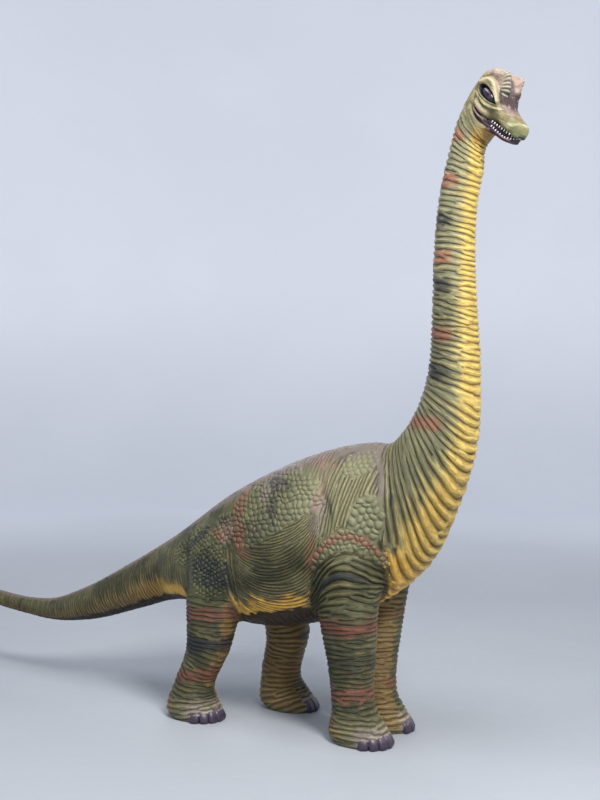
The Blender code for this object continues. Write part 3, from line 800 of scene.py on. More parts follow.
# Rises (below 0: furrows): line, half width, height; first those on top, then those at the sides.
TOP_FORMS = (
    (((0.012, 0.044, 0.262), (0.062, 0.048, 0.266)), 0.021, 0.027),
    (((0.062, 0.048, 0.266), (0.092, 0.043, 0.228)), 0.019, 0.018),
    (((0.020, 0.000, 0.290), (0.070, 0.000, 0.270), (0.105, 0.000, 0.225)), 0.018, -0.024),
    (((0.165, 0.0, 0.172), (0.195, 0.0, 0.160)), 0.024, -0.005),
)
SIDE_FORMS = (
    (BROW, 0.012, 0.012), (BROW_EDGE, 0.007, -0.007), (LOWER_LID, 0.006, 0.005),
    (CHEEK, 0.007, 0.004), (UPPER_LIP, 0.007, 0.006), (MOUTH_GAP, 0.0055, -0.012),
    (LOWER_LIP, 0.006, 0.005), (BEHIND_EYE, 0.006, -0.006), (JOWL, 0.007, -0.005),
    (BILL_RIM, 0.014, 0.004),
    (((0.012, 0.092, 0.150), (0.050, 0.088, 0.127), (0.100, 0.080, 0.128)), 0.006, -0.004),
    (((-0.058, 0.088, 0.190), (-0.052, 0.092, 0.140), (-0.026, 0.086, 0.078)), 0.008, -0.006),
    (((-0.040, 0.090, 0.180), (-0.034, 0.093, 0.135), (-0.010, 0.088, 0.085)), 0.010, 0.005),
)
SIDEWAYS = np.array([1.0, 0.3, 1.0])     # how much each direction counts in a side line's distance
NOSTRIL = (0.139, 0.028)
RIB_PITCH, RIB_HUB, RIB_RADIUS = 0.0150, (0.030, 0.215), 0.072
RIB_RISE, LID_RISE, EYE_SINK, NOSTRIL_SINK = 0.0017, 0.0030, 0.024, 0.011
FINE_PITCH, FINE_DEEP = 0.010, 0.0008      # the fine wrinkles all over the head
TOE_RISE = 0.0045


def side_distance(head_side, line):
    """Distance to a line drawn on the side of the head, nearly as seen from that side."""
    return line_distance(head_side * SIDEWAYS, curved(line) * SIDEWAYS)


def eye_share(head_side):
    """Share of the eye opening's radius: 1 on the rim of an oval slanted down to the front."""
    u, w = head_side[:, 0] - EYE_MIDDLE[0], head_side[:, 2] - EYE_MIDDLE[1]
    cos, sin = math.cos(EYE_SLANT), math.sin(EYE_SLANT)
    along, up = u * cos - w * sin, u * sin + w * cos
    along = along / EYE_HALF[0]
    half = EYE_HALF[1] * (1 - 0.55 * unit(along) ** 2 + 0.35 * unit(-along))
    return np.hypot(along, up / half)


def nostril_distance(head_side):
    """Distance from the nostril, measured on the top of the muzzle."""
    far = np.hypot(head_side[:, 0] - NOSTRIL[0], head_side[:, 1] - NOSTRIL[1])
    return np.where(head_side[:, 2] > 0.125, far, 1.0)


def ribbed(head_side):
    """1 on each rib across the arches over the nose and -1 between them: the cosine of the angle
    about the arches' hub, so that the ribs fan out. They lie on the arches' outer sides."""
    bearing = np.arctan2(head_side[:, 0] - RIB_HUB[0], head_side[:, 2] - RIB_HUB[1])
    outer = ramp(head_side[:, 1], 0.037, 0.046) * ramp(head_side[:, 0], 0.018, 0.040)
    near = ramp(bump(side_distance(head_side, ARCH_LINE), 0.026), 0.15, 0.60)
    return outer * near * np.cos(2 * math.pi * bearing * RIB_RADIUS / RIB_PITCH)


def head_relief(places):
    """Rises and furrows on each side of the head, the eye's opening sunk inside its lids, the
    nostrils' pits, and ribs across the two arches over the nose."""
    side = places.head_side[places.on_head]
    height = sum(rise * bump(line_distance(side, line), width) for line, width, rise in TOP_FORMS)
    height += sum(rise * bump(side_distance(side, line), width) for line, width, rise in SIDE_FORMS)
    eye, sideways = eye_share(side), ramp(side[:, 1], 0.045, 0.060)
    height += sideways * (LID_RISE * bump(eye - 1.25, 0.15) - EYE_SINK * ramp(eye, 1.04, 0.84))
    height -= NOSTRIL_SINK * bump(nostril_distance(side), 0.009)
    height += RIB_RISE * ribbed(side)
    along, across = side[:, 0] / FINE_PITCH, side[:, 2] / FINE_PITCH
    fine = rolls(read_tile(RAGGED, along, across), across)
    return places.from_head(height + FINE_DEEP * (fine - 0.6)) * places.head


def foot_relief(places):
    """Toes and tendons: a low ridge up the foot behind each nail, fading at the ankle."""
    height = np.zeros_like(places.x)
    for index in range(len(LEGS)):
        angle, _ = places.legs[index]
        turned = angle - NAIL_TURN
        ridges = np.cos(turned / NAIL_SPREAD * 2 * math.pi)
        ahead = ramp(np.abs(turned), NAIL_SPREAD * 3.2, NAIL_SPREAD * 2.4)
        height += (places.nearest_leg == index) * ahead * TOE_RISE * ridges
    return height * between(places.z, 0.045, 0.135, 0.06)


# ---- paint: where each colour of the statue lies, 0 to 1 ----
# Angle from the back at which the yellow begins, by length from the neck's start.
YELLOW_FROM = ((-3.3, 1.55), (-1.44, 1.65), (-1.14, 1.95), (-0.75, 2.18), (-0.45, 2.22),
               (-0.16, 2.32), (-0.06, 2.15), (0.04, 1.82), (0.12, 1.84), (0.22, 2.0), (0.4, 2.02),
               (0.64, 1.92), (0.82, 1.88), (1.0, 1.92), (1.2, 2.0), (1.4, 1.98), (1.8, 1.9))
# Patches of colour on each side: (x, z), half size, lean forward.
RUST_PATCHES = (
    ((-0.225, 1.060), (0.042, 0.070), -0.25), ((-0.185, 0.930), (0.038, 0.080), -0.2),
    ((-0.140, 0.850), (0.045, 0.034), 0.6), ((0.195, 0.870), (0.020, 0.100), 0.1),
    ((0.535, 0.830), (0.022, 0.090), -0.2), ((-0.330, 0.925), (0.060, 0.018), 0.5),
)
DARK_PATCHES = (
    ((0.545, 1.135), (0.014, 0.055), -0.45), ((-0.020, 1.165), (0.075, 0.030), 0.2),
    ((-0.015, 1.060), (0.028, 0.095), -0.35), ((-0.350, 0.745), (0.125, 0.075), 0.35),
    ((-0.235, 0.700), (0.022, 0.120), -0.1), ((-0.450, 0.900), (0.075, 0.026), -0.65),
    ((0.275, 1.080), (0.012, 0.075), -0.35), ((-0.500, 0.740), (0.020, 0.130), -0.1),
)
MAUVE_PATCHES = (
    ((0.225, 1.060), (0.045, 0.130), 0.10), ((0.470, 1.240), (0.040, 0.130), -0.3),
    ((-0.100, 1.210), (0.160, 0.040), 0.45), ((-0.080, 1.120), (0.040, 0.040), 0.0),
)
PINK_PATCHES = (((0.190, 1.265), (0.080, 0.040), 0.1), ((-0.270, 0.945), (0.055, 0.065), 0.2),
                ((0.215, 1.130), (0.030, 0.100), 0.1))
NECK_RUST = (2.733, 2.539, 2.208, 1.863, 1.472)       # heights of the rust patches on the nape
NECK_DARK = (2.365, 2.080, 1.696)                     # and of the blue-black ones
LEG_RUST, LEG_DARK = (0.545, 0.228), ((0.385, 1.0), (0.110, 0.4))


def patches(places, rows, noise=0.35):
    """1 in any of these ovals, whose edges the blotches break up."""
    worn = 1 + noise * places.noise
    masks = [oval(places.x, places.z, middle, half, lean, 0.35) * worn
             for middle, half, lean in rows]
    return unit(greatest(*masks)) * ramp(places.out, 0.03, 0.07)


def neck_patches(places, heights, half, reach):
    """1 at these heights of the neck, from the nape round to this angle; edges follow the folds."""
    height = places.z + 0.02 * (1 - np.cos(places.angle)) + 0.008 * places.streak
    near = greatest(*(bump(height - level, half) for level in heights))
    on_neck = ramp(places.length, NECK_AT + 0.15, NECK_AT + 0.3)
    return near * on_neck * ramp(places.turn, reach + 0.25, reach - 0.35)


def underside_masks(places):
    """The yellow of throat, chest and belly, brighter on the belly, and the painted shade of the
    underside, a near black under the body: each runs round the body from an angle that changes
    along the spine."""
    off_leg, ragged = 1 - places.on_leg, 0.13 * places.noise + 0.10 * places.streak
    start = np.interp(places.length - NECK_AT, *np.transpose(YELLOW_FROM))
    inside = (places.turn + ragged - start) / (0.25 + 0.75 * places.neck)
    fading = 1 - 0.65 * ramp(places.length, TRUNK_AT, TRUNK_AT - 0.5)
    return {
        "yellow": ramp(inside, -0.40, 0.60) * (1 - places.head) * off_leg * fading,
        "belly": places.trunk * off_leg * ramp(places.turn, 1.9, 2.2),
        # under: painted shade, dark below the body.
        "under": (ramp(places.turn + 0.3 * ragged, 2.37, 2.46) * (1 - places.neck) * off_leg
                  * ramp(places.x, 0.40, 0.28)),
    }


def band_masks(places, crown, yellow):
    """Ochre inside and behind the legs, the rust and blue-black bands and patches, and painted
    shade down the back of the neck: a band is exp(-(height off its level / width)^2), its level
    moved by the streaks."""
    x, z, on_leg = places.x, places.z, places.on_leg
    inner = ramp(np.sin(places.leg_angle), 0.10, -0.75)
    heel = ramp(np.cos(places.leg_angle), -0.10, -0.70) * ramp(z, 0.22, 0.06)
    ahead = ramp(np.cos(places.leg_angle), 0.55, 0.95) * ramp(x, 0.0, -0.1) * ramp(z, 0.12, 0.25)
    worn = greatest(inner, heel * 0.9, ahead * 0.9)
    outer, hind = on_leg * (1 - 0.7 * inner), ramp(x, 0.0, -0.1)

    arch = 0.9 * bump(crown - 0.958, 0.027) * between(x, ARCH_AT - 0.17, ARCH_AT + 0.165, 0.04)
    bands = greatest(*(bump(z + 0.018 * places.streak - level, 0.036) for level in LEG_RUST))
    rust = greatest(patches(places, RUST_PATCHES) * 0.60, arch * 0.68, bands * outer,
                    neck_patches(places, NECK_RUST, 0.033, 1.85))
    crescent = bump(crown - 0.785, 0.022) * between(x, ARCH_AT - 0.15, ARCH_AT + 0.17, 0.1)
    rings = greatest(*(share * bump(z + 0.022 * places.streak - level, 0.040)
                       for level, share in LEG_DARK))
    # Painted shade: darker down the back of the neck, away from the light.
    nape = ramp(places.turn, 0.85, 0.3) * between(z, 1.45, 1.95, 0.2) * places.neck * 0.8
    dark = greatest(patches(places, DARK_PATCHES) * 0.75, crescent * on_leg * 0.8, nape,
                    rings * outer * (0.45 + 0.8 * hind),
                    neck_patches(places, NECK_DARK, 0.045, 1.9) * 0.85)
    return {
        "ochre": on_leg * unit(worn + 0.3 * places.noise) * ramp(z, 0.0, 0.04),
        "rust": unit(rust * (1 + 0.35 * places.noise)) * (1 - yellow),
        "dark": unit(dark * (1 + 0.4 * places.noise)) * (1 - yellow) * (1 - places.head),
    }


def top_masks(places):
    """Mauve along the back, pink patches, the pale toes, and the painted light: how far the green,
    yellow and rust are lightened as if lit, high on the neck, over the shoulder and flank, along
    the belly's sides and low on the legs."""
    x, z, length, turn, neck = places.x, places.z, places.length, places.turn, places.neck
    ragged = 0.13 * places.noise + 0.10 * places.streak
    top = (ramp(turn - ragged, 0.80, 0.35) * (places.trunk + places.tail)
           + 0.4 * neck * ramp(length, NECK_AT + 0.5, NECK_AT) * ramp(turn, 0.8, 0.3))
    toes = ramp(np.cos(places.leg_angle - NAIL_TURN), 0.25, 0.75)
    # Painted light: lighter high up the neck, over the shoulder and the middle of the flank, along
    # the belly's sides and low on the legs.
    light = (oval(x, z, (0.36, 1.12), (0.24, 0.24), 0, 0.5) * 0.70 * (1 - neck)
             + neck * (0.25 + 0.25 * ramp(z, 1.1, 1.5) + 0.50 * ramp(z, 1.9, 2.2))
             + oval(x, z, (0.05, 1.08), (0.20, 0.18), 0, 0.6) * 0.3
             + 0.25 * places.trunk * (1 - places.on_leg) * ramp(turn, 1.9, 2.1)
             + 0.45 * places.on_leg * ramp(z, 0.17, 0.06))
    return {
        "mauve": unit(greatest(top, patches(places, MAUVE_PATCHES) * 0.6)),
        "pink": patches(places, PINK_PATCHES) * 0.8,
        "foot": ramp(z - 0.02 * places.noise, 0.140, 0.040) * toes * places.on_leg,
        "light": unit(light),
    }


def paint_masks(places):
    """Every colour's share at each point."""
    masks = underside_masks(places)
    masks |= band_masks(places, arch_height(places.x, places.z), masks["yellow"])
    return masks | top_masks(places) | head_masks(places)


# Borders on the side of the head: along, up.
SKULL_BORDER = ((-0.04, 0.262), (0.0, 0.252), (0.039, 0.243), (0.08, 0.214), (0.106, 0.178),
                (0.126, 0.154), (0.15, 0.15), (0.19, 0.15))
JAW_TOP = ((0.06, 0.096), (0.1, 0.086), (0.13, 0.075), (0.165, 0.066), (0.206, 0.062),
           (0.236, 0.076), (0.252, 0.098))
LIP_UNDERSIDE = ((0.06, 0.096), (0.1, 0.095), (0.13, 0.098), (0.185, 0.089), (0.24, 0.087),
                 (0.26, 0.1))
# A line below the lip, towards the corner of the mouth, which gets plum as painted shade.
JAW_CORNER = ((0.03, 0.088, 0.088), (0.07, 0.08, 0.07), (0.11, 0.07, 0.066))


def head_masks(places):
    """The colours of the head, each along its own line or inside its own border."""
    side, on = places.head_side[places.on_head], places.head[places.on_head]
    u, v, w = side.T
    here = places.length[places.on_head] - NECK_AT

    def along(line, width):
        """1 on one of the head's lines, fading over this width."""
        return bump(side_distance(side, line), width) * on

    sideways = ramp(v, 0.045, 0.060)
    eye = eye_share(side)
    skull_border, jaw_top, lip_underside = (
        np.interp(u, *np.transpose(line)) for line in (SKULL_BORDER, JAW_TOP, LIP_UNDERSIDE))
    skull = ramp(w - skull_border, -0.008, 0.006) * ramp(u, -0.03, 0.03)
    skull = np.maximum(skull, ramp(w, 0.235, 0.262) * 0.75) * ramp(u, 0.205, 0.165)
    throat = (ramp(here, 1.46, 1.66) * ramp(places.turn[places.on_head], 1.75, 2.5)
              * ramp(w, 0.075, 0.020))
    lips = greatest(along(UPPER_LIP, 0.0050) * ramp(u, 0.135, 0.100),
                    along(LOWER_LIP, 0.0045) * 0.7, bump(nostril_distance(side), 0.011))
    strip = ramp(w - jaw_top + 0.016, -0.004, 0.004) * ramp(u, 0.060, 0.090)
    jaw = ramp(jaw_top - w, -0.003, 0.004) * np.maximum(ramp(u, 0.095, 0.150), strip)
    corner = ramp(w - jaw_top, -0.003, 0.002) * ramp(u, 0.060, 0.085)
    inside = (ramp(lip_underside - 0.001 - w, -0.003, 0.002)
              * np.maximum(ramp(u, 0.112, 0.130), corner))
    nose = np.maximum(between(w, 0.172, 0.236, 0.022) * ramp(u, 0.070, 0.092),
                      ramp(v, 0.030, 0.014) * between(u, 0.030, 0.130, 0.02))
    nose = np.maximum(nose, 0.50 * ramp(u, 0.110, 0.140))
    rim = np.maximum(bump(eye - 1.03, 0.10), ramp(eye, 1.08, 1.00)) * sideways
    # Painted shade, with dark wash, in the head's furrows.
    furrows = [along(line, width * 0.7) for line, width, rise in SIDE_FORMS if rise < 0]
    masks = {
        "head": on, "throat": throat, "skull": unit(skull) * on, "ribs": on * ribbed(side),
        "nose": nose * unit(skull) * on,
        # cream: the brow's paint, and also a painted highlight along the ridges of the brow, lids
        # and cheeks.
        "cream": unit(greatest(along(BROW, 0.012), along(LOWER_LID, 0.006) * 0.9,
                               along(CHEEK, 0.007) * 0.7)),
        "bill": on * ramp(u - 0.4 * (0.15 - w), 0.150, 0.200) * ramp(w, 0.135, 0.118),
        # The bill's green, lit along its rim: a painted highlight.
        "lime": along(BILL_RIM, 0.010) * ramp(u, 0.165, 0.210),
        "lips": unit(lips) * on,
        # black: the eye's rim, the mouth's inside under the upper lip, and painted shade in the gap
        # between the lips.
        "black": unit(greatest(rim, along(MOUTH_GAP, 0.004), inside * (1 - jaw))) * on,
        # plum: the jaw's dark purple paint, and painted shade below the lip line towards the corner
        # of the mouth.
        "plum": unit(greatest(jaw, along(JAW_CORNER, 0.010) * 0.9)) * on,
        "furrow": greatest(*furrows),
    }
    return {name: places.from_head(values) for name, values in masks.items()}


# ---- the skin ----
FILLET_STEPS, FILLET_PULL = 60, 0.6
CHEEK_PULL = 0.7                   # how much of it the cheeks get
FINE_FROM = (-0.075, 0.02, 2.4)    # finer faces from here: along the head, up it, off the floor
HEAD_STEPS, HEAD_PULL = 4, 0.5     # smoothing of the halved faces
# How strongly dark wash and painted shade darken the skin between the scales and in the grooves.
SIDE_CREASE, GROOVE_CREASE = 0.65, 30
LOWEST = 0.0005                    # the soles stay this far above the floor
HEAD_KEPT = 1.5                    # how strongly the thinning spares the head
NAILS_A_FOOT = 5
NAIL_SPREAD, NAIL_TURN = math.radians(20), math.radians(25)


def skin_base():
    """Every swept part of the body, closed into one even mesh."""
    stations = np.linspace(0, SPINE_LENGTHS[-1], SPINE_GRID[0])
    parts = [closed_tube(spine_rings(stations, SPINE_GRID[1])),
             closed_tube(head_rings(JAW_LINE, *JAW_GRID))]
    parts += [closed_tube(leg_rings(side, path, *LEG_GRID)) for _, side, path in LEGS]
    skin = mesh_object("skin", *joined(parts))
    remesh = skin.modifiers.new("even", "REMESH")
    remesh.mode = "VOXEL"
    remesh.voxel_size = VOXEL
    apply_modifiers(skin)
    return skin


def fillet(points, edges, weight, steps=FILLET_STEPS):
    """The points moved step by step to the mean of their neighbours, as far as weight says."""
    moving = np.flatnonzero(weight > 0.01)
    touched = np.isin(edges, moving).any(axis=1)
    kept, index = np.unique(edges[touched], return_inverse=True)
    local_edges = index.reshape(-1, 2)
    local = points[kept]
    share = weight[kept][:, None]
    free = np.isin(kept, moving)[:, None]
    for _ in range(steps):
        local = np.where(free, local + share * (neighbour_mean(local, local_edges) - local), local)
    points[kept] = local
    return points


def set_points(mesh, points):
    """Moves the mesh's points to these places."""
    mesh.vertices.foreach_set("co", points.astype(np.float32).ravel())
    mesh.update()


def halve_head_edges(skin):
    """Cuts every face of the head in four, so that its relief has points half as far apart."""
    points = read_points(skin.data)
    u, _, w = to_head(points).T
    along, up, high = FINE_FROM
    head = (u > along) & (w > up) & (points[:, 2] > high)
    shape = bmesh.new()
    shape.from_mesh(skin.data)
    edges = read_edges(skin.data)
    chosen = np.flatnonzero(head[edges].all(axis=1))
    shape.edges.ensure_lookup_table()
    bmesh.ops.subdivide_edges(shape, edges=[shape.edges[i] for i in chosen], cuts=1,
                              use_grid_fill=True)
    shape.to_mesh(skin.data)
    shape.free()


def store(mesh, name, values):
    """Keeps one number, or one vector, for each point of the mesh, for the paint to read."""
    kind = "FLOAT" if values.ndim == 1 else "FLOAT_VECTOR"
    layer = mesh.attributes.new(name, kind, "POINT")
    key = "value" if values.ndim == 1 else "vector"
    layer.data.foreach_set(key, values.astype(np.float32).ravel())


def store_paint(mesh, places, crease, depth, lie, wave):
    """Keeps every mask at the mesh's points, with what its creases are drawn from."""
    folds = {"crease": crease, "depth": depth, "lie": lie, "wave": wave}
    for name, values in (paint_masks(places) | folds).items():
        store(mesh, name, values)


def smooth_skin():
    """The swept body, its joins and cheeks filleted, with finer faces on the head; and its
    points."""
    skin = skin_base()
    points, edges = read_points(skin.data), read_edges(skin.data)
    places = Places(points)
    joint = (ramp(places.share, 0.96, 1.0) * ramp(places.share, 1.5, 1.2)
             * ramp(places.leg_share, 1.35, 1.15) * ramp(places.z, 0.38, 0.46))
    u, w = places.along, places.up
    cheek = places.head * between(u, -0.03, 0.100, 0.04) * between(w, 0.020, 0.112, 0.02)
    points = fillet(points, edges, np.maximum(joint, cheek * CHEEK_PULL) * FILLET_PULL)
    set_points(skin.data, points)
    halve_head_edges(skin)
    points, edges = read_points(skin.data), read_edges(skin.data)
    points = fillet(points, edges, Places(points).head * HEAD_PULL, HEAD_STEPS)
    set_points(skin.data, points)
    return skin, points


def thin_out(skin, head):
    """Fewer triangles where the skin is even, but not on the head."""
    group = skin.vertex_groups.new(name="head")
    group.add(np.flatnonzero(head > 0.5).tolist(), 1.0, "REPLACE")
    decimate = skin.modifiers.new("thin", "DECIMATE")
    decimate.ratio = SKIN_TRIANGLES / (2 * len(skin.data.polygons))
    decimate.vertex_group, decimate.invert_vertex_group = "head", True
    decimate.vertex_group_factor = HEAD_KEPT
    apply_modifiers(skin)
    skin.vertex_groups.clear()
    skin.data.shade_smooth()


def make_skin():
    """The smooth skin, moved along its normals by the relief: folds, toes and the head's forms,
    less the grooves. The masks of the paint are kept at its points."""
    skin, points = smooth_skin()
    places, normals = Places(points), read_points(skin.data, "normal")
    relief, side_scales = body_relief(places)
    groove = grooves(places)
    height = relief.height * ramp(points[:, 2], 0.004, 0.03)
    height += foot_relief(places) + head_relief(places) - groove
    points = points + normals * height[:, None]
    points[:, 2] = np.maximum(points[:, 2], LOWEST)
    set_points(skin.data, points)
    # Darker between the scales and in the grooves: dark wash and painted shade.
    crease = unit(SIDE_CREASE * side_scales + GROOVE_CREASE * np.maximum(groove, 0))
    store_paint(skin.data, places, crease, relief.depth, relief.lie, relief.wave)
    thin_out(skin, places.head)
    return skin


skin = make_skin()
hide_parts("head", "jaw_lower", "neck_upper", "neck_middle", "neck_lower", "trunk",
            "tail_base", "tail_middle", "tail_tip", *("leg_" + name for name, _, _ in LEGS))
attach(skin, "root")


# ---- scales ----
SCALE_SIDES = 12
SCALE_RIMS = (1.0, 0.84, 0.48, 0.0)        # shares of a scale's outline, from its rim to its top
SCALE_LIFTS = (-0.35, 0.50, 0.92, 1.0)     # and the share of its height there
SCALE_SWAY, SCALE_SWAY_PITCH = 0.29, 0.42  # how far the grid is pushed about, and how finely
SCALE_GAP = 0.97                           # share of its cell that a scale fills
SCALE_ROW, CORNERS = 0.84, (0.475, 0.505)  # from row to row, and out to every other corner
BESIDE, REACH_IN = 0.6, 0.75               # where scales start, and how far in they may be laid
STEEPEST, FARTHEST = 1.1, 0.55             # the steepest skin that holds a scale, and how far out
PATCH_EDGE = 0.35                          # share of a patch's mask from which a scale is kept
LOW_SCALE = 0.55                           # share of its height that a scale has at least
SCALE_LIE = 80                             # how finely the scales' paint varies, per metre


def scale_cells(size, tilt, middle, half, seed):
    """Cells of a hexagonal grid over a patch: their middles and the twelve corners of each
    outline, in the grid's own plane, pushed about together so that neighbours still fit."""
    reach = math.hypot(*half) * 1.3
    count = int(reach / size) + 2
    column, row = np.mgrid[-count:count + 1, -count:count + 1].reshape(2, -1)
    centre = np.stack([(column + 0.5 * (row % 2)) * size, row * size * SCALE_ROW], axis=1)
    angle = full_turn(SCALE_SIDES)[0]
    radius = np.where(np.arange(SCALE_SIDES) % 2 == 0, *CORNERS) * size
    outline = centre[:, None] + radius[:, None] * np.stack([np.cos(angle), np.sin(angle)], axis=1)
    shift = np.random.default_rng(seed).uniform(0, 30, 4)

    def pushed(flat):
        """The grid's points, moved by soft noise as wide as a few scales, turned and placed."""
        cells = flat / size * SCALE_SWAY_PITCH
        move = [read_tile(BLOTCHES, cells[..., 0] + along, cells[..., 1] + across)
                for along, across in (shift[:2], shift[2:])]
        moved = flat + np.stack(move, axis=-1) * size * SCALE_SWAY
        cos, sin = math.cos(tilt), math.sin(tilt)
        along, across = moved[..., 0], moved[..., 1]
        turned = np.stack([along * cos - across * sin, along * sin + across * cos], axis=-1)
        return turned + np.array(middle)

    return pushed(centre), pushed(outline)


def all_cells():
    """Middles and outlines of every scale on a side, and how high each stands."""
    centres, outlines, heights = [], [], []
    rows = [(name, *row) for name, row in SCALE_PATCHES.items()]
    rows.append(("arch", (ARCH_AT, 0.93), (0.20, 0.12), 0, ARCH_SCALE, 0.0, ARCH_RISE))
    for seed, (name, middle, half, _, size, tilt, rise) in enumerate(rows):
        centre, outline = scale_cells(size, tilt, middle, half, seed)
        x, z = centre.T
        mask = on_arch(x, z) if name == "arch" else patch_mask(name, x, z)
        if name in ("haunch", "thigh"):
            mask = mask * (1 - patch_mask("flank", x, z))
        if name in ("flank", "haunch", "withers"):
            mask = mask * (1 - patch_mask("column", x, z)) * (1 - patch_mask("shoulder", x, z))
        if name != "arch":
            mask = mask * (1 - on_arch(x, z))
        inside = mask > PATCH_EDGE
        centres.append(centre[inside])
        outlines.append(outline[inside])
        heights.append(rise * (LOW_SCALE + (1 - LOW_SCALE) * mask[inside]))
    return np.concatenate(centres), np.concatenate(outlines), np.concatenate(heights)


def scale_domes():
    """One side's domes: the points of each, flat on the side, the triangles of one, and how high
    each stands. An outline is drawn in by steps: middle + (outline - middle) * rim * gap."""
    centre, outline, height = all_cells()
    rims = np.array(SCALE_RIMS[:-1])
    reach = (outline - centre[:, None])[:, None]
    rings = centre[:, None, None] + reach * rims[None, :, None, None] * SCALE_GAP
    flat = np.concatenate([rings.reshape(len(centre), -1, 2), centre[:, None]], axis=1)
    last, edge = (len(rims) - 1) * SCALE_SIDES, np.arange(SCALE_SIDES)
    top = 0 * edge + flat.shape[1] - 1
    tops = np.stack([last + edge, last + (edge + 1) % SCALE_SIDES, top], axis=1)
    return flat, np.concatenate([ring_walls(len(rims), SCALE_SIDES), tops]), height


def scale_mesh(points, one, turned):
    """Scales as one object: the points of each, the triangles of one, and which face backwards."""
    count, each = points.shape[:2]
    triangles = one[None] + (np.arange(count) * each)[:, None, None]
    triangles[turned] = triangles[turned][:, :, ::-1]
    return mesh_object("scales", points.reshape(-1, 3), triangles.reshape(-1, 3))


def make_scales():
    """Low domes on both sides, laid on the skin along Y, then raised along its normals by height *
    lift. Domes that lie over an edge of the body are left out."""
    flat, one, height = scale_domes()
    flat = np.concatenate([flat, flat])
    left = np.arange(len(flat)) >= len(height)
    beside = np.where(left, BESIDE, -BESIDE)[:, None] + 0 * flat[..., 0]
    spread = np.stack([flat[..., 0] + FEET_AHEAD, beside, flat[..., 1]], axis=-1)
    scales = scale_mesh(spread, one, left)
    wrap = scales.modifiers.new("laid", "SHRINKWRAP")
    wrap.target, wrap.wrap_method = skin, "PROJECT"
    wrap.use_project_y, wrap.use_project_x, wrap.use_project_z = True, False, False
    wrap.use_negative_direction = wrap.use_positive_direction = True
    wrap.project_limit = REACH_IN
    apply_modifiers(scales)
    laid, normals = (read_points(scales.data, kind).reshape(spread.shape)
                     for kind in ("co", "normal"))
    normals = normals.mean(axis=1, keepdims=True) * 0.5 + normals * 0.5
    normals /= np.linalg.norm(normals, axis=2, keepdims=True)
    lift = np.concatenate([np.repeat(SCALE_LIFTS[:-1], SCALE_SIDES), SCALE_LIFTS[-1:]])
    long, steep, high = np.ptp(laid, axis=1).T
    held = steep < STEEPEST * (long + high)
    held &= (np.abs(laid[:, :, 1]) < FARTHEST).all(axis=1)
    rise = np.concatenate([height, height])[:, None] * lift
    points = (laid + normals * rise[..., None])[held]
    bpy.data.objects.remove(scales)
    scales = scale_mesh(points, one, points[:, :, 1].mean(axis=1) > 0)
    places = Places(laid[held].reshape(-1, 3))
    raised = (lift - lift[0]) / (lift[-1] - lift[0])
    still = np.zeros((len(places.x), 3))
    # Each scale is darker low down, towards its rim: dark wash and painted shade.
    store_paint(scales.data, places, np.tile(unit(0.85 - 1.4 * raised), len(points)), still[:, 0],
                points.reshape(-1, 3) * SCALE_LIE, still)
    return scales


scales = make_scales()
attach(scales, "root")


# ---- eyes, nails, mouth and teeth ----
def ball_grid(rows, columns):
    """Directions on a ball: an angle from pole to pole and one round."""
    polar = np.linspace(0, math.pi, rows)[:, None]
    around = full_turn(columns)
    return np.stack([np.sin(polar) * np.cos(around), np.sin(polar) * np.sin(around),
                     np.cos(polar) * np.ones_like(around)], axis=-1)


def capped(rings):
    """Rings as a closed mesh: each end ring gathered onto its middle."""
    points, triangles = closed_tube(rings)
    return points, outward(points, triangles)


EYE_OUT, EYE_REACH = 0.063, (0.0520, 0.0300, 0.0225)
EYE_GRID, NAIL_GRID, TOOTH_SIDES = (22, 40), (12, 18), 7


def make_eyes():
    """Each eye: a ball stretched by three half sizes, slanted down to the front."""
    cos, sin = math.cos(EYE_SLANT), math.sin(EYE_SLANT)
    for name, side in (("right", -1), ("left", 1)):
        ball = ball_grid(*EYE_GRID)[1:-1] * EYE_REACH
        middle = np.array([EYE_MIDDLE[0], side * EYE_OUT, EYE_MIDDLE[1]])
        rings = middle + np.stack([ball[..., 0] * cos + ball[..., 2] * sin, ball[..., 1],
                                   -ball[..., 0] * sin + ball[..., 2] * cos], axis=-1)
        points, faces = capped(from_head(rings))
        eye = mesh_object("eye_ball_" + name, points, faces)
        local = to_head(points) - middle
        store(eye.data, "gaze", np.stack([local[:, 0] * cos - local[:, 2] * sin, local[:, 1],
                                          local[:, 0] * sin + local[:, 2] * cos], axis=1))
        eye.data.materials.append(EYE_PAINT)
        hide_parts("eye_" + name)
        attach(eye, "root")


NAIL_HALF, NAIL_HEIGHT = (0.028, 0.0245, 0.035), 0.027
NAIL_SQUARED, NAIL_LEAN, NAIL_INSET = 0.62, 0.42, 0.010


def make_nails():
    """Each nail: a ball squared a little, leaning back with height, cut off at the floor."""
    parts = []
    shape = ball_grid(*NAIL_GRID)[1:-1]
    shape = np.sign(shape) * np.abs(shape) ** NAIL_SQUARED * NAIL_HALF
    for name, side, path in LEGS:
        length, width, x, y = (value[0] for value in leg_sizes(path, [NAIL_HEIGHT]))
        for count in range(NAILS_A_FOOT):
            bearing = side * (NAIL_TURN + (count - (NAILS_A_FOOT - 1) / 2) * NAIL_SPREAD)
            cos, sin = math.cos(bearing), math.sin(bearing)
            smaller = 1 - 0.05 * abs(count - 2)
            ahead = shape[..., 0] * smaller - NAIL_LEAN * unit(shape[..., 2] + 0.012)
            across = shape[..., 1]
            points = np.stack([x + (length - NAIL_INSET) * cos + ahead * cos - across * sin,
                               side * y + (width - NAIL_INSET) * sin + ahead * sin + across * cos,
                               np.maximum(NAIL_HEIGHT + shape[..., 2] * smaller, 0.0008)], axis=-1)
            parts.append(capped(points))
    nails = mesh_object("toenails", *joined(parts))
    nails.data.materials.append(NAIL_PAINT)
    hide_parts(*(f"nail_{name}_{count + 1}" for name, _, _ in LEGS
                         for count in range(NAILS_A_FOOT)))
    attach(nails, "root")


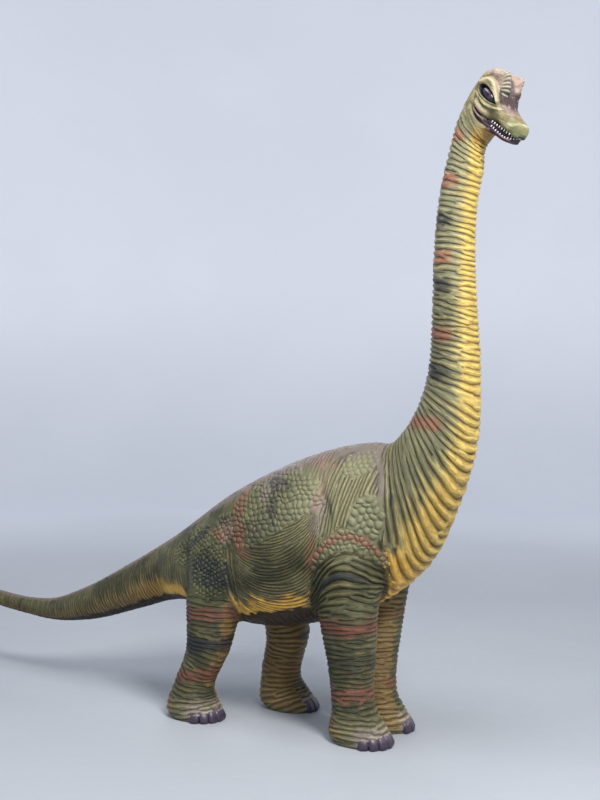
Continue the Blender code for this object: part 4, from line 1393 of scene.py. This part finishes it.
# The mouth's lining: top and bottom (along, up) and half width, in the head's frame.
MOUTH_LINE = (
    (0.040, 0.104, 0.050, 0.060, 0.060),
    (0.090, 0.100, 0.095, 0.052, 0.058),
    (0.122, 0.099, 0.122, 0.050, 0.053),
    (0.160, 0.096, 0.160, 0.050, 0.047),
    (0.208, 0.092, 0.204, 0.050, 0.036),
    (0.232, 0.095, 0.226, 0.064, 0.022),
    (0.246, 0.100, 0.243, 0.094, 0.008),
)
# Roots of the teeth (along, out, up) on each side, and which way they point.
TOOTH_ROWS = (
    (((0.122, 0.065, 0.095), (0.160, 0.059, 0.092), (0.200, 0.051, 0.088), (0.230, 0.038, 0.087),
      (0.244, 0.019, 0.092), (0.248, 0.005, 0.095)), -1),
    (((0.126, 0.060, 0.073), (0.165, 0.052, 0.064), (0.205, 0.045, 0.060), (0.230, 0.034, 0.069),
      (0.242, 0.016, 0.080), (0.245, 0.005, 0.084)), 1),
)
TEETH_A_SIDE = 12
TOOTH_LONG, TOOTH_WIDE = 0.0078, 0.0028
TOOTH_HEIGHTS = (-0.25, 0.2, 0.55, 0.82, 0.97)     # a tooth's rings, in shares of its length


def make_mouth():
    """The lining is swept through its rows; each tooth is a cone rounded at its tip, whose width
    shrinks with height as sqrt(1 - height^2)."""
    lining = mesh_object("mouth_lining", *capped(head_rings(MOUTH_LINE, *LINING_GRID)))
    lining.data.materials.append(MOUTH_PAINT)
    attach(lining, "root")

    height = np.array(TOOTH_HEIGHTS)[:, None]
    radius = TOOTH_WIDE * np.sqrt(1 - unit(height) ** 2)
    around = full_turn(TOOTH_SIDES)
    parts = []
    for row, way in TOOTH_ROWS:
        row = np.asarray(row)
        lengths = line_lengths(row)
        for side in (-1, 1):
            for root in smooth_rows(row, np.linspace(0, lengths[-1], TEETH_A_SIDE), lengths):
                cone = [root[0] + radius * np.cos(around), side * root[1] + radius * np.sin(around),
                        root[2] + way * TOOTH_LONG * height + 0 * around]
                parts.append(capped(from_head(np.stack(cone, axis=-1))))
    teeth = mesh_object("teeth", *joined(parts))
    teeth.data.materials.append(TOOTH_PAINT)
    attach(teeth, "root")


# ---- finishes ----
class Wire:
    """One socket of a finish, on which sums are written as expressions."""

    def __init__(self, finish, socket):
        self.finish, self.socket = finish, socket

    def sum_of(self, operation, *values):
        """The socket of one sum of these values."""
        return self.finish.node("ShaderNodeMath", {"operation": operation}, dict(enumerate(values)))

    def __add__(self, other):
        return self.sum_of("ADD", self, other)

    def __sub__(self, other):
        return self.sum_of("SUBTRACT", self, other)

    def __rsub__(self, other):
        return self.sum_of("SUBTRACT", other, self)

    def __mul__(self, other):
        return self.sum_of("MULTIPLY", self, other)

    def __pow__(self, other):
        return self.sum_of("POWER", self, other)

    __radd__, __rmul__ = __add__, __mul__


class Finish:
    """A painted finish: its nodes feed the colour, roughness and normal of one shader."""

    def __init__(self, name, **constants):
        self.material = bpy.data.materials.new(name)
        self.material.use_nodes = True
        self.tree = self.material.node_tree
        self.shader = self.tree.nodes["Principled BSDF"]
        for key, value in constants.items():
            self.shader.inputs[key.replace("_", " ")].default_value = value

    def node(self, kind, settings, values, output=0):
        """A node of this type: its settings first, then its sockets' values or links."""
        node = self.tree.nodes.new(kind)
        for key, value in settings.items():
            if key == "stops":
                for stop in range(len(value) - 2):
                    node.color_ramp.elements.new(0.5)
                for element, (place, colour) in zip(node.color_ramp.elements, value):
                    element.position, element.color = place, (*colour, 1)
            else:
                setattr(node, key, value)
        for key, value in values.items():
            self.put(node.inputs[key], value)
        return Wire(self, node.outputs[output])

    def put(self, socket, value):
        """Links a wire to the socket, or sets the socket to a number or a colour."""
        if isinstance(value, Wire):
            self.tree.links.new(value.socket, socket)
        elif isinstance(value, tuple) and len(value) == 3 and socket.type == "RGBA":
            socket.default_value = (*value, 1)
        else:
            socket.default_value = value

    def mask(self, name):
        """A number kept at the mesh's points."""
        return self.node("ShaderNodeAttribute", {"attribute_name": name}, {}, "Fac")

    def place(self, name):
        """A vector kept at the mesh's points."""
        return self.node("ShaderNodeAttribute", {"attribute_name": name}, {}, "Vector")

    def here(self):
        """Places in the object's own frame."""
        return self.node("ShaderNodeTexCoord", {}, {}, "Object")

    def high(self):
        """Height in the object's own frame."""
        return self.node("ShaderNodeSeparateXYZ", {}, {0: self.here()}, 2)

    def far(self, vector):
        """Length of a vector."""
        return self.node("ShaderNodeVectorMath", {"operation": "LENGTH"}, {0: vector}, "Value")

    def noise(self, scale, detail=3.0, stretch=(1, 1, 1), at=None):
        """Soft noise, about 0.5, at the object's own places or at others."""
        at = at or self.here()
        moved = self.node("ShaderNodeMapping", {}, {"Vector": at, "Scale": stretch})
        return self.node("ShaderNodeTexNoise", {},
                         {"Vector": moved, "Scale": scale, "Detail": detail})

    def cells(self, scale):
        """Distance to the border of the nearest cells."""
        return self.node("ShaderNodeTexVoronoi", {"feature": "DISTANCE_TO_EDGE"},
                         {"Vector": self.here(), "Scale": scale}, "Distance")

    def step(self, value, low, high, least=0.0, most=1.0):
        """From least at low, easing to most at high."""
        return self.node("ShaderNodeMapRange", {"interpolation_type": "SMOOTHSTEP"},
                         {"Value": value, "From Min": low, "From Max": high,
                          "To Min": least, "To Max": most})

    def sawtooth(self, value):
        """Distance to the nearest whole number, doubled: 0 there and 1 halfway between."""
        return self.node("ShaderNodeMath", {"operation": "PINGPONG"}, {0: value, 1: 0.5}) * 2.0

    def mix(self, share, first, second, blend="MIX"):
        """The first colour, and as large a share of the second."""
        settings = {"data_type": "RGBA", "blend_type": blend, "clamp_factor": True}
        return self.node("ShaderNodeMix", settings, {0: share, 6: first, 7: second}, 2)

    def finish(self, colour, roughness, height, depth):
        """Feeds the shader; the surface's grain is height * depth."""
        self.put(self.shader.inputs["Base Color"], colour)
        self.put(self.shader.inputs["Roughness"], roughness)
        bumps = {"Height": height, "Distance": depth, "Strength": 1.0}
        self.put(self.shader.inputs["Normal"], self.node("ShaderNodeBump", {}, bumps))
        return self.material


# Colours of the paints, as shares of light in red, green and blue.
# Lit copies, as painted light: the third green of the second, the second yellow of the first, the
# pale yellow of the ochre, and the second rust of the first.
GREEN_DEEP, GREEN, GREEN_LIT = (0.050, 0.053, 0.024), (0.120, 0.120, 0.056), (0.275, 0.270, 0.160)
MAUVE, PINK, OCHRE = (0.190, 0.150, 0.148), (0.320, 0.190, 0.155), (0.260, 0.165, 0.058)
YELLOW_DEEP, YELLOW_LIT = (0.350, 0.215, 0.048), (0.680, 0.500, 0.140)
YELLOW_PALE_LIT, BLUE_BLACK = (0.430, 0.370, 0.150), (0.016, 0.020, 0.029)
RUST, RUST_LIT = (0.200, 0.078, 0.050), (0.360, 0.145, 0.088)
# The underside's near black is painted shade.
FOOT, UNDERSIDE_SHADE, BELLY = (0.310, 0.260, 0.245), (0.016, 0.008, 0.006), (0.780, 0.460, 0.085)
HEAD_GREEN, HEAD_OLIVE, THROAT = (0.270, 0.235, 0.115), (0.165, 0.140, 0.070), (0.440, 0.250, 0.055)
SKULL, SKULL_BROWN, SKULL_DEEP = (0.390, 0.300, 0.230), (0.230, 0.155, 0.130), (0.048, 0.027, 0.030)
ARCH_GREEN = (0.430, 0.420, 0.320)
# The lime is the bill's green lit along its rim: a painted highlight.
BILL, BILL_HIGHLIGHT = (0.210, 0.215, 0.095), (0.500, 0.510, 0.290)
# The cream is the brow's paint, and also a painted highlight on the brow, lid and cheek ridges.
CREAM, LIPS = (0.520, 0.440, 0.280), (0.440, 0.260, 0.300)
# The wash darkens the head's furrows and between the ribs: dark wash and painted shade. The plum is
# also painted shade below the lip line, and the black also painted shade in the gap between the
# lips.
PLUM, WASH_AND_SHADE, BLACK = (0.040, 0.016, 0.034), (0.055, 0.048, 0.022), (0.006, 0.005, 0.010)
# Tints that multiply the colours: a paler dry brush that also paints the highlights on the rolls,
# painted shade for the valleys, and a dark wash that also paints the shade in the creases.
BRUSHED_AND_HIGHLIT, SHADED, WASHED_AND_SHADED = (1.44, 1.40, 1.32), (0.46, 0.38, 0.28), (0.24, 0.20, 0.15)
NAIL_DARK, NAIL_PALE = (0.042, 0.028, 0.050), (0.150, 0.118, 0.150)
MOUTH_DARK, MOUTH_PINK = (0.016, 0.006, 0.014), (0.045, 0.014, 0.030)
TOOTH_WHITE, TOOTH_STAINED = (0.78, 0.76, 0.68), (0.52, 0.46, 0.36)
# Rings of the eye: how far out, colour.
EYE_RINGS = ((0.0, (0.004, 0.004, 0.008)), (0.28, (0.008, 0.006, 0.013)),
             (0.4, (0.062, 0.036, 0.066)), (0.62, (0.026, 0.018, 0.036)),
             (0.9, (0.006, 0.004, 0.01)))
# Coats of paint: mask, how much noise frays it, the levels it runs from and to, strength, colour.
GROUND_COATS = (
    ("mauve", 0.6, 0.30, 0.62, 0.75, MAUVE),
    ("pink", 0.6, 0.30, 0.90, 0.55, PINK),
    ("ochre", 0.6, 0.30, 0.62, 0.70, OCHRE),
)
# The blue-black also paints the shade down the back of the neck.
DARK_COATS = (("dark", 0.6, 0.15, 0.95, 0.85, BLUE_BLACK), ("foot", 0.6, 0.20, 1.00, 0.80, FOOT))
# On the head: the lime along the bill's rim is a painted highlight, the cream is the brow's paint
# and also a painted highlight on the brow, lid and cheek ridges, the furrows get dark wash and
# painted shade, and the plum is the jaw's paint and also painted shade below the lip line.
HEAD_COATS = (
    ("bill", 0, 0.30, 0.90, 1.00, BILL),
    ("lime", 0, 0.20, 0.90, 1.00, BILL_HIGHLIGHT),
    ("cream", 0.3, 0.15, 1.10, 0.80, CREAM),
    ("furrow", 0, 0.35, 1.00, 0.85, WASH_AND_SHADE),
    ("plum", 0, 0.30, 0.80, 1.00, PLUM),
    ("lips", 0, 0.30, 0.90, 0.85, LIPS),
)


def skin_finish():
    """Airbrushed colours over a green ground, each mask's edge broken up by noise that runs along
    the folds. Light and shade are painted in as well: lit copies of the colours, a near black under
    the body, darker valleys and wrinkles, a dark wash that also paints the shade in the creases,
    and a paler dry brush on the rolls that also paints their highlights."""
    paint = Finish("painted resin", Specular_IOR_Level=0.35)
    lie = paint.place("lie")
    streak = paint.noise(1.0, 4.0, (0.14, 1.1, 1.0), lie)
    blotch, grain = paint.noise(26.0, 4.0), paint.noise(240.0, 2.0)
    large = paint.noise(7.0, 3.0)
    wander = (streak - 0.5) * 0.7 + (blotch - 0.5) * 0.5

    def frayed(name, by, low, high):
        """A mask whose border the noise frays, eased between two levels."""
        return paint.step(paint.mask(name) + wander * by, low, high)

    def coated(colour, coats):
        """The colour under these coats, laid one over the other."""
        for name, by, low, high, strength, tint in coats:
            colour = paint.mix(frayed(name, by, low, high) * strength, colour, tint)
        return colour

    # The folds again, finer than the mesh holds them: a crease wherever count + drift is whole.
    wave, depth = paint.place("wave"), paint.mask("depth")
    drift_x, drift_y, count = (paint.node("ShaderNodeSeparateXYZ", {}, {0: wave}, axis)
                               for axis in range(3))
    turned = paint.node("ShaderNodeMath", {"operation": "ARCTAN2"}, {0: drift_y, 1: drift_x})
    line = paint.sawtooth(count + turned * (0.5 / math.pi))
    strength = drift_x * drift_x + drift_y * drift_y
    strong = paint.step(strength, 0.004, 0.12) * paint.step(depth, 0.05, 0.4)
    # cut marks the thin crease lines and valley the low ground between the rolls; below, both are
    # darkened as painted shade.
    cut = (1.0 - paint.step(line, 0.0, 0.40)) * strong
    valley = (1.0 - line) ** 1.5 * strong
    rough_lie = paint.noise(1.0, 3.0, (0.40, 2.4, 1.0), lie)
    nearby = paint.node("ShaderNodeMath", {"operation": "ABSOLUTE"}, {0: rough_lie - 0.5})
    wrinkle = (1.0 - paint.step(nearby, 0.0, 0.055)) * paint.step(depth, 0.1, 0.5)
    crease = paint.mask("crease")
    # The light mask is painted light: it turns the green, the yellow and the rust into lit copies
    # of them.
    light = paint.mask("light")

    green = paint.mix(paint.step(large + wander * 0.4, 0.35, 0.65), GREEN_DEEP, GREEN)
    green = paint.mix(light, green, GREEN_LIT)
    colour = coated(green, GROUND_COATS)
    # The yellow is deep where unlit and lighter where the light mask says (painted light), with
    # random blotches of the deep yellow.
    yellow = paint.mix(paint.step(light, 0.05, 0.40), YELLOW_DEEP, YELLOW_LIT)
    yellow = paint.mix(paint.step(blotch, 0.5, 0.8) * 0.35, yellow, YELLOW_DEEP)
    pale = paint.mix(paint.step(light, 0.05, 0.40), OCHRE, YELLOW_PALE_LIT)
    yellow = paint.mix(paint.step(paint.mask("yellow") + wander * 0.3, 0.45, 1.0), pale, yellow)
    yellow = paint.mix(paint.mask("belly"), yellow, BELLY)
    bold = (paint.mask("yellow") + (streak - 0.5) * 1.2 + (blotch - 0.5) * 0.4
            + (line - 0.5) * strong * 0.35)
    colour = paint.mix(paint.step(bold, 0.02, 0.85), colour, yellow)
    # Painted shade: a near black under the body.
    colour = paint.mix(frayed("under", 0.6, 0.1, 0.6) * 0.97, colour, UNDERSIDE_SHADE)
    # Rust, fuller on the ridges, is lightened where the light mask says: painted light.
    ridge, rust = paint.step(valley, 0.1, 0.8, 1.0, 0.45), paint.mix(light, RUST, RUST_LIT)
    colour = paint.mix(frayed("rust", 0.6, 0.12, 0.80) * ridge * 0.92, colour, rust)
    colour = coated(colour, DARK_COATS)

    head = paint.mix(paint.step(blotch, 0.4, 0.7), HEAD_GREEN, HEAD_OLIVE)
    colour = paint.mix(paint.mask("head"), colour, head)
    colour = paint.mix(frayed("throat", 0.3, 0.1, 1.0) * 0.8, colour, THROAT)
    skull = paint.mix(paint.step(blotch, 0.30, 0.60), SKULL_BROWN, SKULL)
    skull = paint.mix(frayed("nose", 0.5, 0.05, 0.95) * 0.92, skull, SKULL_DEEP)
    colour = paint.mix(frayed("skull", 0.6, 0.30, 0.62), colour, skull)
    ribs = paint.mask("ribs")
    # Paler paint on the ribs; darker between them, with dark wash and painted shade.
    colour = paint.mix(paint.step(ribs + wander * 0.2, 0.05, 0.55) * 0.8, colour, ARCH_GREEN)
    colour = paint.mix(paint.step(ribs * -1.0, 0.20, 0.60) * 0.7, colour, WASH_AND_SHADE)
    colour = coated(colour, HEAD_COATS)

    # A paler dry brush on the rolls, which also paints the highlights that light puts on them.
    brushed_and_highlit = paint.step(line, 0.35, 0.95) * strong * paint.step(streak, 0.3, 0.7, 0.3, 1.0)
    colour = paint.mix(brushed_and_highlit, colour, paint.mix(1.0, colour, BRUSHED_AND_HIGHLIT, "MULTIPLY"))
    # Painted shade: darker in the valleys between the rolls and along the fine wrinkles.
    shaded = paint.mix(1.0, colour, SHADED, "MULTIPLY")
    colour = paint.mix(valley * paint.step(streak, 0.3, 0.7, 0.55, 1.0), colour, shaded)
    colour = paint.mix(wrinkle * 0.45, colour, shaded)
    # A dark wash that also paints the shade in the creases: round and under the scales, in the
    # grooves and along the crease lines. The same tint darkens the fine grain.
    washed_and_shaded = paint.mix(1.0, colour, WASHED_AND_SHADED, "MULTIPLY")
    soaked_and_shaded = paint.step(crease + cut * 0.9 + (streak - 0.5) * 0.8, 0.40, 1.15) * 0.62
    colour = paint.mix(soaked_and_shaded, colour, washed_and_shaded)
    colour = paint.mix(paint.step(grain + blotch * 0.5, 0.55, 1.0) * 0.20, colour, washed_and_shaded)
    # Black on the eye's rim and inside the mouth under the upper lip, and as painted shade in the
    # gap between the lips.
    colour = paint.mix(paint.step(paint.mask("black"), 0.35, 0.75), colour, BLACK)
    pores = paint.step(paint.cells(150.0), 0.0, 0.12)
    height = streak * 0.10 + grain * 0.025 + pores * 0.03 - (cut * 0.40 + wrinkle * 0.12) * depth
    rough = paint.step(blotch + grain * 0.3, 0.4, 0.9, 0.38, 0.55)
    return paint.finish(colour, rough, height, 0.010)


def eye_finish():
    """Gloss, coloured by distance from the eye's middle: a nearly black pupil, a thin purple iris
    and dark round it."""
    paint = Finish("eye gloss", Coat_Weight=0.15, Coat_Roughness=0.08)
    gaze = paint.place("gaze")
    across = paint.node("ShaderNodeMapping", {}, {"Vector": gaze, "Scale": (22.0, 0.0, 40.0)})
    flecks = paint.noise(300.0, 2.0)
    far = paint.far(across) + (flecks - 0.5) * 0.12
    colour = paint.node("ShaderNodeValToRGB", {"stops": EYE_RINGS}, {"Fac": far})
    return paint.finish(colour, 0.18, flecks, 0.00005)


def nail_finish():
    """Dark purple horn, greyer and lighter towards its top, with upright lines."""
    paint = Finish("toenail paint")
    lines = paint.noise(60.0, 3.0, (1.0, 1.0, 0.25))
    high = paint.high() + (lines - 0.5) * 0.03
    colour = paint.mix(paint.step(high, 0.025, 0.075), NAIL_DARK, NAIL_PALE)
    return paint.finish(colour, paint.step(lines, 0.3, 0.7, 0.30, 0.45), lines, 0.0015)


def mouth_finish():
    """Nearly black with damp pink blotches."""
    paint = Finish("mouth paint")
    damp = paint.noise(90.0, 3.0)
    colour = paint.mix(paint.step(damp, 0.4, 0.7), MOUTH_DARK, MOUTH_PINK)
    return paint.finish(colour, paint.step(damp, 0.3, 0.7, 0.2, 0.35), damp, 0.001)


def tooth_finish():
    """Bone white with darker stains."""
    paint = Finish("tooth enamel")
    stain = paint.noise(160.0, 3.0)
    colour = paint.mix(paint.step(stain, 0.4, 0.75), TOOTH_WHITE, TOOTH_STAINED)
    return paint.finish(colour, 0.28, stain, 0.0004)


def floor_finish():
    """Pale plaster, softly mottled. The far rise glows by itself: the lamps don't reach it."""
    paint = Finish("pale plaster")
    cloud = paint.noise(0.35, 4.0)
    speck = paint.noise(14.0, 3.0)
    colour = paint.mix(paint.step(cloud, 0.35, 0.65), FLOOR_TONE, FLOOR_PALE)
    far = paint.far(paint.here())
    glow = paint.mix(paint.step(far, 3.0, 9.0), FLOOR_GLOW, RISE_GLOW)
    glow = paint.mix(paint.step(paint.high(), 0.0, 4.0), glow, WALL_GLOW)
    paint.put(paint.shader.inputs["Emission Color"], glow)
    paint.shader.inputs["Emission Strength"].default_value = 1.0
    return paint.finish(colour, paint.step(speck, 0.3, 0.7, 0.75, 0.9), speck, 0.002)


SKIN_PAINT = skin_finish()
for piece in (skin, scales):
    piece.data.materials.clear()
    piece.data.materials.append(SKIN_PAINT)
EYE_PAINT, NAIL_PAINT = eye_finish(), nail_finish()
MOUTH_PAINT, TOOTH_PAINT = mouth_finish(), tooth_finish()
make_eyes()
make_nails()
make_mouth()


# ---- studio ----
FLOOR_RADIUS, FLOOR_FLAT, WALL_HIGH = 18.0, 0.50, 15.0
FLOOR_TONE, FLOOR_PALE = (0.375, 0.400, 0.440), (0.410, 0.435, 0.475)
FLOOR_GLOW, RISE_GLOW, WALL_GLOW = (0.015, 0.018, 0.022), (0.28, 0.30, 0.35), (0.44, 0.46, 0.52)


def make_floor():
    """A round floor whose rim sweeps up far away: height = most * (share beyond the flat)^2.4."""
    share = np.concatenate([np.linspace(0.001, FLOOR_FLAT, 8),
                            np.linspace(FLOOR_FLAT + 0.02, 1, 26)])
    angle = full_turn(96)[0]
    radius = FLOOR_RADIUS * share
    height = WALL_HIGH * (unit(share - FLOOR_FLAT) / (1 - FLOOR_FLAT)) ** 2.4
    rings = np.stack([radius[:, None] * np.cos(angle), radius[:, None] * np.sin(angle),
                      np.broadcast_to(height[:, None], (len(share), len(angle)))], axis=-1)
    points = np.concatenate([rings.reshape(-1, 3), [[0, 0, 0]]])
    ring = np.arange(len(angle))
    hub = np.stack([np.full(len(angle), len(points) - 1), ring, (ring + 1) % len(angle)], axis=1)
    walls = ring_walls(len(share), len(angle))[:, ::-1]
    floor = mesh_object("floor", points, np.concatenate([hub, walls]))
    floor.data.materials.append(floor_finish())


SKY, SKY_STRENGTH = (0.82, 0.84, 0.88), 0.28
CAMERA_AT = (2.32194 + FEET_AHEAD, -4.24395, 1.56)
CAMERA_LENS, CAMERA_SENSOR = 45, 36    # millimetres
CAMERA_BEARING = math.radians(28.98)   # the camera looks this far left of +Y


def make_camera():
    """A level camera, at eye height in front of the statue's right side."""
    data = bpy.data.cameras.new("camera")
    data.lens, data.sensor_width = CAMERA_LENS, CAMERA_SENSOR
    camera = scene_object("camera", data)
    camera.location = CAMERA_AT
    camera.rotation_euler = (math.pi / 2, 0, CAMERA_BEARING)
    bpy.context.scene.camera = camera


# Lamps: name, place, aimed at, size, watts, colour.
LAMPS = (
    ("key", (4.8, -3.0, 5.6), (0.9, 0, 1.7), 1.6, 480, (1.0, 0.98, 0.94)),
    ("top", (0.8, -1.6, 6.5), (0.3, 0, 1.0), 3.0, 150, (0.97, 0.98, 1.0)),
    ("left", (-3.0, 5.0, 4.0), (0.3, 0, 1.2), 3.0, 60, (0.93, 0.96, 1.0)),
)


def make_lamps():
    """Square lamps, each turned so that its underside faces what it is aimed at."""
    for name, place, aim, size, watts, colour in LAMPS:
        data = bpy.data.lights.new(name, "AREA")
        data.size, data.energy, data.color = size, watts, colour
        lamp = scene_object(name, data)
        lamp.location = place
        way = np.array(aim) - np.array(place)
        flat = math.hypot(way[0], way[1])
        lamp.rotation_euler = (math.atan2(flat, -way[2]), 0, math.atan2(-way[0], way[1]))


def make_world():
    """Even pale light from all round."""
    world = bpy.data.worlds.new("studio")
    bpy.context.scene.world = world
    world.use_nodes = True
    background = world.node_tree.nodes["Background"]
    background.inputs["Color"].default_value = (*SKY, 1)
    background.inputs["Strength"].default_value = SKY_STRENGTH


make_floor()
make_camera()
make_lamps()
make_world()
bpy.context.scene.view_settings.view_transform = "Standard"
